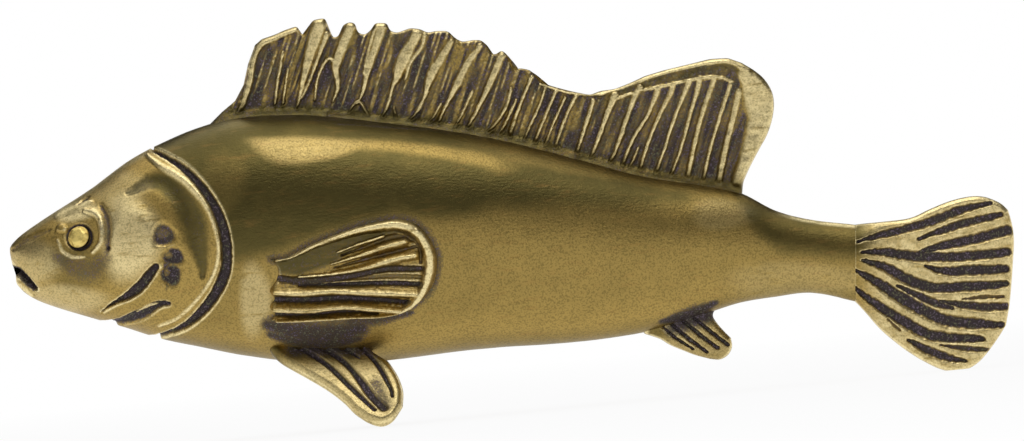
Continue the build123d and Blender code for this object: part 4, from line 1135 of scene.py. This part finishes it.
# %% [markdown]
# The pelvic fins are the fish's feet. Each is a plate in a plane that leans out from the seam, so it
# is drawn in that plane's own directions. Where it touches down it is ground flat: any point
# below the ground is lifted to it.

# %% Pelvic fins
SPLAY = np.radians(35)
STANCE = 4.0
PELVIC_REACH = 11.306
PELVIC_LENGTH = 14.1
PELVIC_PLACE = 0.335
PELVIC_COLUMNS = 150
PELVIC_ROWS = 100
PELVIC_FRONT = [(-0.20, 0.00), (-0.11, 0.14), (0.00, 0.24), (0.16, 0.375), (0.32, 0.52), (0.46, 0.68),
                (0.56, 0.83), (0.66, 0.935)]
PELVIC_TIP = [(0.66, 0.935), (0.73, 0.98), (0.80, 1.00), (0.86, 0.98), (0.92, 0.915), (0.985, 0.77)]
PELVIC_HIND = [(0.66, -0.12), (0.72, 0.02), (0.84, 0.14), (0.91, 0.28), (0.96, 0.42), (0.99, 0.58),
               (0.985, 0.77)]
PELVIC_ROOT_LINE = [(-0.20, -0.12), (0.25, -0.12), (0.66, -0.12)]
PELVIC_CUTS = [
    ([(0.02, -0.02), (0.18, 0.10), (0.34, 0.26), (0.53, 0.54), (0.74, 0.84)], [0.6, 1.0, 1.0, 0.9, 0.7]),
    ([(0.20, -0.05), (0.45, 0.17), (0.62, 0.46), (0.72, 0.66), (0.82, 0.80)], [0.7, 1.1, 1.0, 1.5, 1.6]),
    ([(0.36, -0.06), (0.50, 0.05), (0.60, 0.14)], [0.5, 0.7, 0.4]),
    ([(0.60, -0.02), (0.76, 0.22), (0.88, 0.54), (0.90, 0.66)], [0.6, 0.8, 0.8, 0.5]),
]
PELVIC_POCKET = [(0.75, 0.48), (0.80, 0.64), (0.84, 0.79)]


def pelvic_root():
    """Where the fin's plane leaves the skin: the lower half ellipse's height at the stance."""
    place = np.array(PELVIC_PLACE * BODY_LENGTH)
    _, belly, widest, width = section(place)
    height = widest - (widest - belly) * np.sqrt(1 - (STANCE / width) ** 2)
    return SNOUT + place * ALONG - STANCE * OUT + height * UPWARD


def pelvic_cuts(a, b, scale):
    """The greatest of the four cuts: 1 along each line, easing to 0 at half its width."""
    cut = np.zeros(a.shape)
    for line, widths in PELVIC_CUTS:
        gap, share = near(a, b, curve(np.array(line) * scale, 24))
        half_width = np.interp(share, np.linspace(0, 1, len(widths)), widths) * 0.5
        cut = np.maximum(cut, 1 - ease(0.3, 1, gap / half_width))
    return cut


def pelvic_fin(name, side):
    """Plate in the leaning plane: root plus a along the body, b down the lean and half out of it."""
    scale = np.array([PELVIC_LENGTH, -PELVIC_REACH])
    front = [PELVIC_ROOT_LINE[0], *PELVIC_FRONT]
    outline = [PELVIC_ROOT_LINE, PELVIC_TIP, front, PELVIC_HIND]
    grid = patch(*(curve(np.array(edge) * scale, 60) for edge in outline), PELVIC_COLUMNS, PELVIC_ROWS)
    a, b = grid[..., 0], grid[..., 1]
    cut = pelvic_cuts(a, b, scale)
    pocket, _ = near(a, b, curve(np.array(PELVIC_POCKET) * scale, 12))
    pocket = 1 - ease(0.2, 1.5, pocket)
    edge, _ = rounding(grid, 0.8)
    half = (0.95 - 0.42 * cut - 0.15 * pocket) * edge
    lean = UPWARD * np.cos(SPLAY) + OUT * np.sin(SPLAY)
    outward = np.cross(ALONG, lean)
    sides = []
    for y in (half, -half):
        points = pelvic_root() + a[..., None] * ALONG + b[..., None] * lean + y[..., None] * outward
        points[..., 1] *= -side
        points[..., 2] = np.maximum(points[..., 2], 0)
        sides.append(points * MM)
    # Patina in the cuts and the pocket, and painted shade along the root where the fin meets the belly,
    # which is darker in tone too.
    recess = np.maximum(np.maximum(cut, 0.6 * pocket), 0.85 * ease(-2.8, -0.2, b) * ease(-2.5, 0.5, a))
    wear = np.maximum(ease(0.02, 0.16, half - softened(half, 8)), 0.45 * (1 - cut)) * ease(0.8, 4.0, -b)
    tone = 0.3 + 0.25 * wander(a, 0.3 * b, 0.9, 24) + 0.4 * ease(-3.5, -1.0, b)
    make_plate(f"{name}_foot_fin", f"{name}_pelvic_fin", sides, recess=recess, wear=wear, tone=tone)


pelvic_fin("left", -1)
pelvic_fin("right", 1)

# %% [markdown]
# Each eye is a turned bead on a stem. It was tapped into its socket, so its crown is slightly facetted
# and its edge is burred, and it is the brightest spot on the head. A profile is carried round the eye's
# axis, and each end is closed with a small flat cap.

# %% Eyes
EYE_PLACE = (8.9059, 1.6432)
EYE_STEPS = 72
FACET_TURN = 0.25
BEAD_YELLOW = (0.92, 0.72, 0.24, 1)
BEAD_BROWN = (0.55, 0.40, 0.11, 1)
BEAD = [(0.0, 0.70), (0.50, 0.695), (0.90, 0.67), (1.08, 0.60), (1.20, 0.48), (1.32, 0.30),
        (1.41, 0.12), (1.44, 0.0), (1.42, -0.25), (1.34, -0.46), (0.70, -0.50), (0.70, -3.08),
        (0.0, -3.10)]


def polished_bead():
    """Yellow brass, browner in blotches and filmed toward its base by the mark of patina and shade, with
    fine marks as its bump.
    """
    material, tree, shader, place = new_finish("polished_bead")
    sand = noise(tree, place, 4200, 3)
    blotch = noise(tree, place, 1500, 2)
    bright = mixed(tree, ramp(tree, blotch, 0.45, 0.75), BEAD_YELLOW, BEAD_BROWN)
    colour = mixed(tree, ramp(tree, mark(tree, "recess"), 0.2, 0.9), bright, FILM_AND_SHADE)
    shader.inputs["Metallic"].default_value = 1.0
    dress(tree, shader, colour, math_node(tree, "MULTIPLY_ADD", sand, 0.18, 0.36), sand, 0.3, 0.00003)
    return material


def facets(turn, height):
    """A hexagon's radius over its circle's by the turn, coming in with the height on the crown."""
    half_side = np.pi / 6
    hexagon = np.cos(half_side) / np.cos((turn + FACET_TURN) % (2 * half_side) - half_side)
    return 1 + (hexagon - 1) * ease(0.0, 0.5, height)


def eye(name, side, material):
    """Bead turned round the skin's normal: radius and height of the profile, and the turn round it."""
    profile = even(np.array(BEAD), 60)
    profile[0, 0] = profile[-1, 0] = 0
    turn = np.linspace(0, 2 * np.pi, EYE_STEPS + 1)[:-1]
    x, z = (np.array([place]) for place in EYE_PLACE)
    centre = np.array([x[0], flank(x, z)[0], z[0]])
    axis = skin_normal(x, z, 0.4)[0]
    first = np.cross(axis, [0, 0, 1.0])
    first /= np.linalg.norm(first)
    second = np.cross(axis, first)
    height = profile[:, 1:]
    radius = profile[:, :1] * facets(turn, height)
    spokes = np.cos(turn)[:, None] * first + np.sin(turn)[:, None] * second
    ring = centre + radius[..., None] * spokes + height[..., None] * axis
    ring[..., 1] *= side
    body = ring[1:-1]
    index = np.arange(body[..., 0].size).reshape(body.shape[:2])
    points = placed(*np.moveaxis(body, -1, 0)).reshape(-1, 3)
    marks = {"recess": np.repeat(1 - ease(-0.1, 0.3, height[1:-1]), EYE_STEPS, axis=1)}
    caps = [index[0], index[-1][::-1]]
    make_piece(f"{name}_eye_bead", f"{name}_eye", points, ring_faces(index), marks, caps, material)


bead = polished_bead()
eye("left", -1, bead)
eye("right", 1, bead)

# %% [markdown]
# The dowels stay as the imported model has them, because they are plain pins inside the castings. They
# still get a drawn finish, with lines along their length, for whoever takes the fish apart.

# %% Dowels
PIN_BRIGHT = (0.74, 0.58, 0.24, 1)
PIN_DULL = (0.52, 0.38, 0.13, 1)


def drawn_brass():
    """Bright pin stock with fine lines along y, which is the way it was drawn."""
    material, tree, shader, place = new_finish("drawn_pin")
    lines = noise(tree, place, 6000, 3, stretch=(1, 0.04, 1))
    colour = mixed(tree, ramp(tree, lines, 0.35, 0.7), PIN_BRIGHT, PIN_DULL)
    shader.inputs["Metallic"].default_value = 1.0
    dress(tree, shader, colour, math_node(tree, "MULTIPLY_ADD", lines, 0.2, 0.18), lines, 0.2, 0.00002)
    return material


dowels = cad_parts["register_dowels"]
dowels.data.materials.clear()
dowels.data.materials.append(drawn_brass())
print("dowels:", len(dowels.data.polygons), "faces in", dowels.data.materials[0].name)

# %% [markdown]
# The fish stands on a pale floor, as small metalware is shown. Bare metal shows only what stands round
# it, so a studio hangs a dark screen round the table, and that draws part of the deep olive band along
# the flank. The rest of that band is painted shade and reflection in the skin's darker tone, which
# stays put as the fish is turned. The screen is left out of the camera's sight, and its shadow is left
# out too.

# %% Floor and screen
FLOOR_HALF = 6.0
SCREEN_RADIUS = 0.9
SCREEN_LOW, SCREEN_HIGH = 0.26, 1.05
SCREEN_STEPS = 64


def plain_finish(name, grey, roughness):
    """A new finish in matt grey, for what stands round the fish."""
    material, tree, shader, place = new_finish(name)
    shader.inputs["Base Color"].default_value = (grey, grey, grey, 1)
    shader.inputs["Roughness"].default_value = roughness
    return material, tree, shader, place


def ray_is(tree, *kinds):
    """1 for a ray of one of those kinds, and 0 for any other."""
    path = add_node(tree, "LightPath")
    share = path.outputs[kinds[0]]
    for kind in kinds[1:]:
        share = math_node(tree, "MAXIMUM", share, path.outputs[kind])
    return share


def pale_floor():
    """Pale grey, mixed with white where it is seen: nearly all white, and all white farther away."""
    material, tree, shader, place = plain_finish("pale_floor", 0.86, 0.8)
    shader.inputs["Specular IOR Level"].default_value = 0
    seen = ray_is(tree, "Is Camera Ray", "Is Glossy Ray")
    away = add_node(tree, "VectorMath", {"operation": "LENGTH"}, _0=place).outputs["Value"]
    share = math_node(tree, "MULTIPLY", seen, ramp(tree, away, 0.12, 0.6, 0.90, 1.0, curved=False))
    white = add_node(tree, "Emission", Strength=1.0).outputs[0]
    both = add_node(tree, "MixShader", _0=share, _1=shader.outputs[0], _2=white)
    tree.links.new(both.outputs[0], tree.nodes["Material Output"].inputs["Surface"])
    return material


floor_mesh = bpy.data.meshes.new("floor")
corners = FLOOR_HALF * np.array([(-1, -1, 0), (1, -1, 0), (1, 1, 0), (-1, 1, 0)])
floor_mesh.from_pydata(corners.tolist(), [], [(0, 1, 2, 3)])
floor_mesh.materials.append(pale_floor())
add_object("floor", floor_mesh)

turn = np.linspace(0, 2 * np.pi, SCREEN_STEPS + 1)[:-1]
ring = SCREEN_RADIUS * np.column_stack([np.cos(turn), np.sin(turn)])
edges = [np.column_stack([ring, np.full(SCREEN_STEPS, height)]) for height in (SCREEN_LOW, SCREEN_HIGH)]
index = np.arange(2 * SCREEN_STEPS).reshape(2, SCREEN_STEPS)
screen_mesh = bpy.data.meshes.new("dark_screen")
screen_mesh.from_pydata(np.vstack(edges).tolist(), [], ring_faces(index).tolist())
screen_mesh.materials.append(plain_finish("dark_screen", 0.05, 0.9)[0])
screen = add_object("dark_screen", screen_mesh)
screen.visible_camera = screen.visible_diffuse = screen.visible_shadow = False
print("the screen stands", SCREEN_LOW, "to", SCREEN_HIGH, "m up and", SCREEN_RADIUS, "m away")

# %% [markdown]
# Three soft lights stand over the front, off the head and over the back. Each is a broad sheet that
# fades toward its edge, because a hard edge would show in the metal as a bar. A lamp's power goes with
# its size, so each is given as the brightness of its sheet. The background is white to the eye and in
# the metal, and lights the fish with about half of that.

# %% Lights and background
AIM = np.array([0, 0, 0.02])


def soft_light(name, place, size, radiance):
    """Broad area light at a place, facing the fish, as bright as a sheet of that radiance."""
    lamp = bpy.data.lights.new(name, "AREA")
    lamp.shape = "RECTANGLE"
    lamp.size, lamp.size_y = size
    lamp.energy = radiance * np.pi * size[0] * size[1]
    lamp.use_nodes = True
    tree = lamp.node_tree
    sheet = add_node(tree, "NewGeometry").outputs["Parametric"]
    off = add_node(tree, "VectorMath", {"operation": "DISTANCE"}, _0=sheet, _1=(0.5, 0.5, 0))
    tree.links.new(ramp(tree, off.outputs["Value"], 0.5, 0.2), tree.nodes["Emission"].inputs["Strength"])
    holder = add_object(name, lamp)
    holder.location = place
    holder.rotation_mode = "QUATERNION"
    holder.rotation_quaternion = Vector(np.array(place) - AIM).to_track_quat("Z", "Y")
    print(f"{name}: {lamp.energy:.2f} W")


soft_light("front_box", (0.05, -0.24, 0.55), (0.32, 0.42), 3.0)
soft_light("head_box", (-0.42, -0.45, 0.40), (0.36, 0.36), 1.3)
soft_light("back_box", (0.0, 0.28, 0.55), (0.6, 0.36), 1.5)

world = bpy.data.worlds.new("studio")
bpy.context.scene.world = world
world.use_nodes = True
tree = world.node_tree
seen = ray_is(tree, "Is Camera Ray", "Is Glossy Ray", "Is Transmission Ray")
backdrop = tree.nodes["Background"]
backdrop.inputs["Color"].default_value = (1, 1, 1, 1)
tree.links.new(ramp(tree, seen, 0.0, 1.0, 0.55, 1.0, curved=False), backdrop.inputs["Strength"])

# %% [markdown]
# The camera looks straight at the left side through a long lens, and is rolled with the fish, so that
# the body's axis lies level in the picture.

# %% Camera
LENS = 500
SENSOR = 36
PICTURE = (1024, 441)
camera = add_object("camera", bpy.data.cameras.new("camera"))
camera.data.lens = LENS
camera.data.sensor_width = SENSOR
centre = drawn([(PICTURE[0] / 2, PICTURE[1] / 2)])[0]
target = placed(centre[0], np.float64(0), centre[1])
distance = PICTURE[0] * UNIT * MM * LENS / SENSOR
turned = Matrix((ALONG, UPWARD, -OUT)).transposed().to_4x4()
camera.matrix_world = Matrix.Translation(Vector(target - distance * OUT)) @ turned
camera.data.clip_start, camera.data.clip_end = 0.05, 20
bpy.context.scene.camera = camera
bpy.context.scene.view_settings.view_transform = "Standard"
print("camera is", round(distance, 2), "m away")
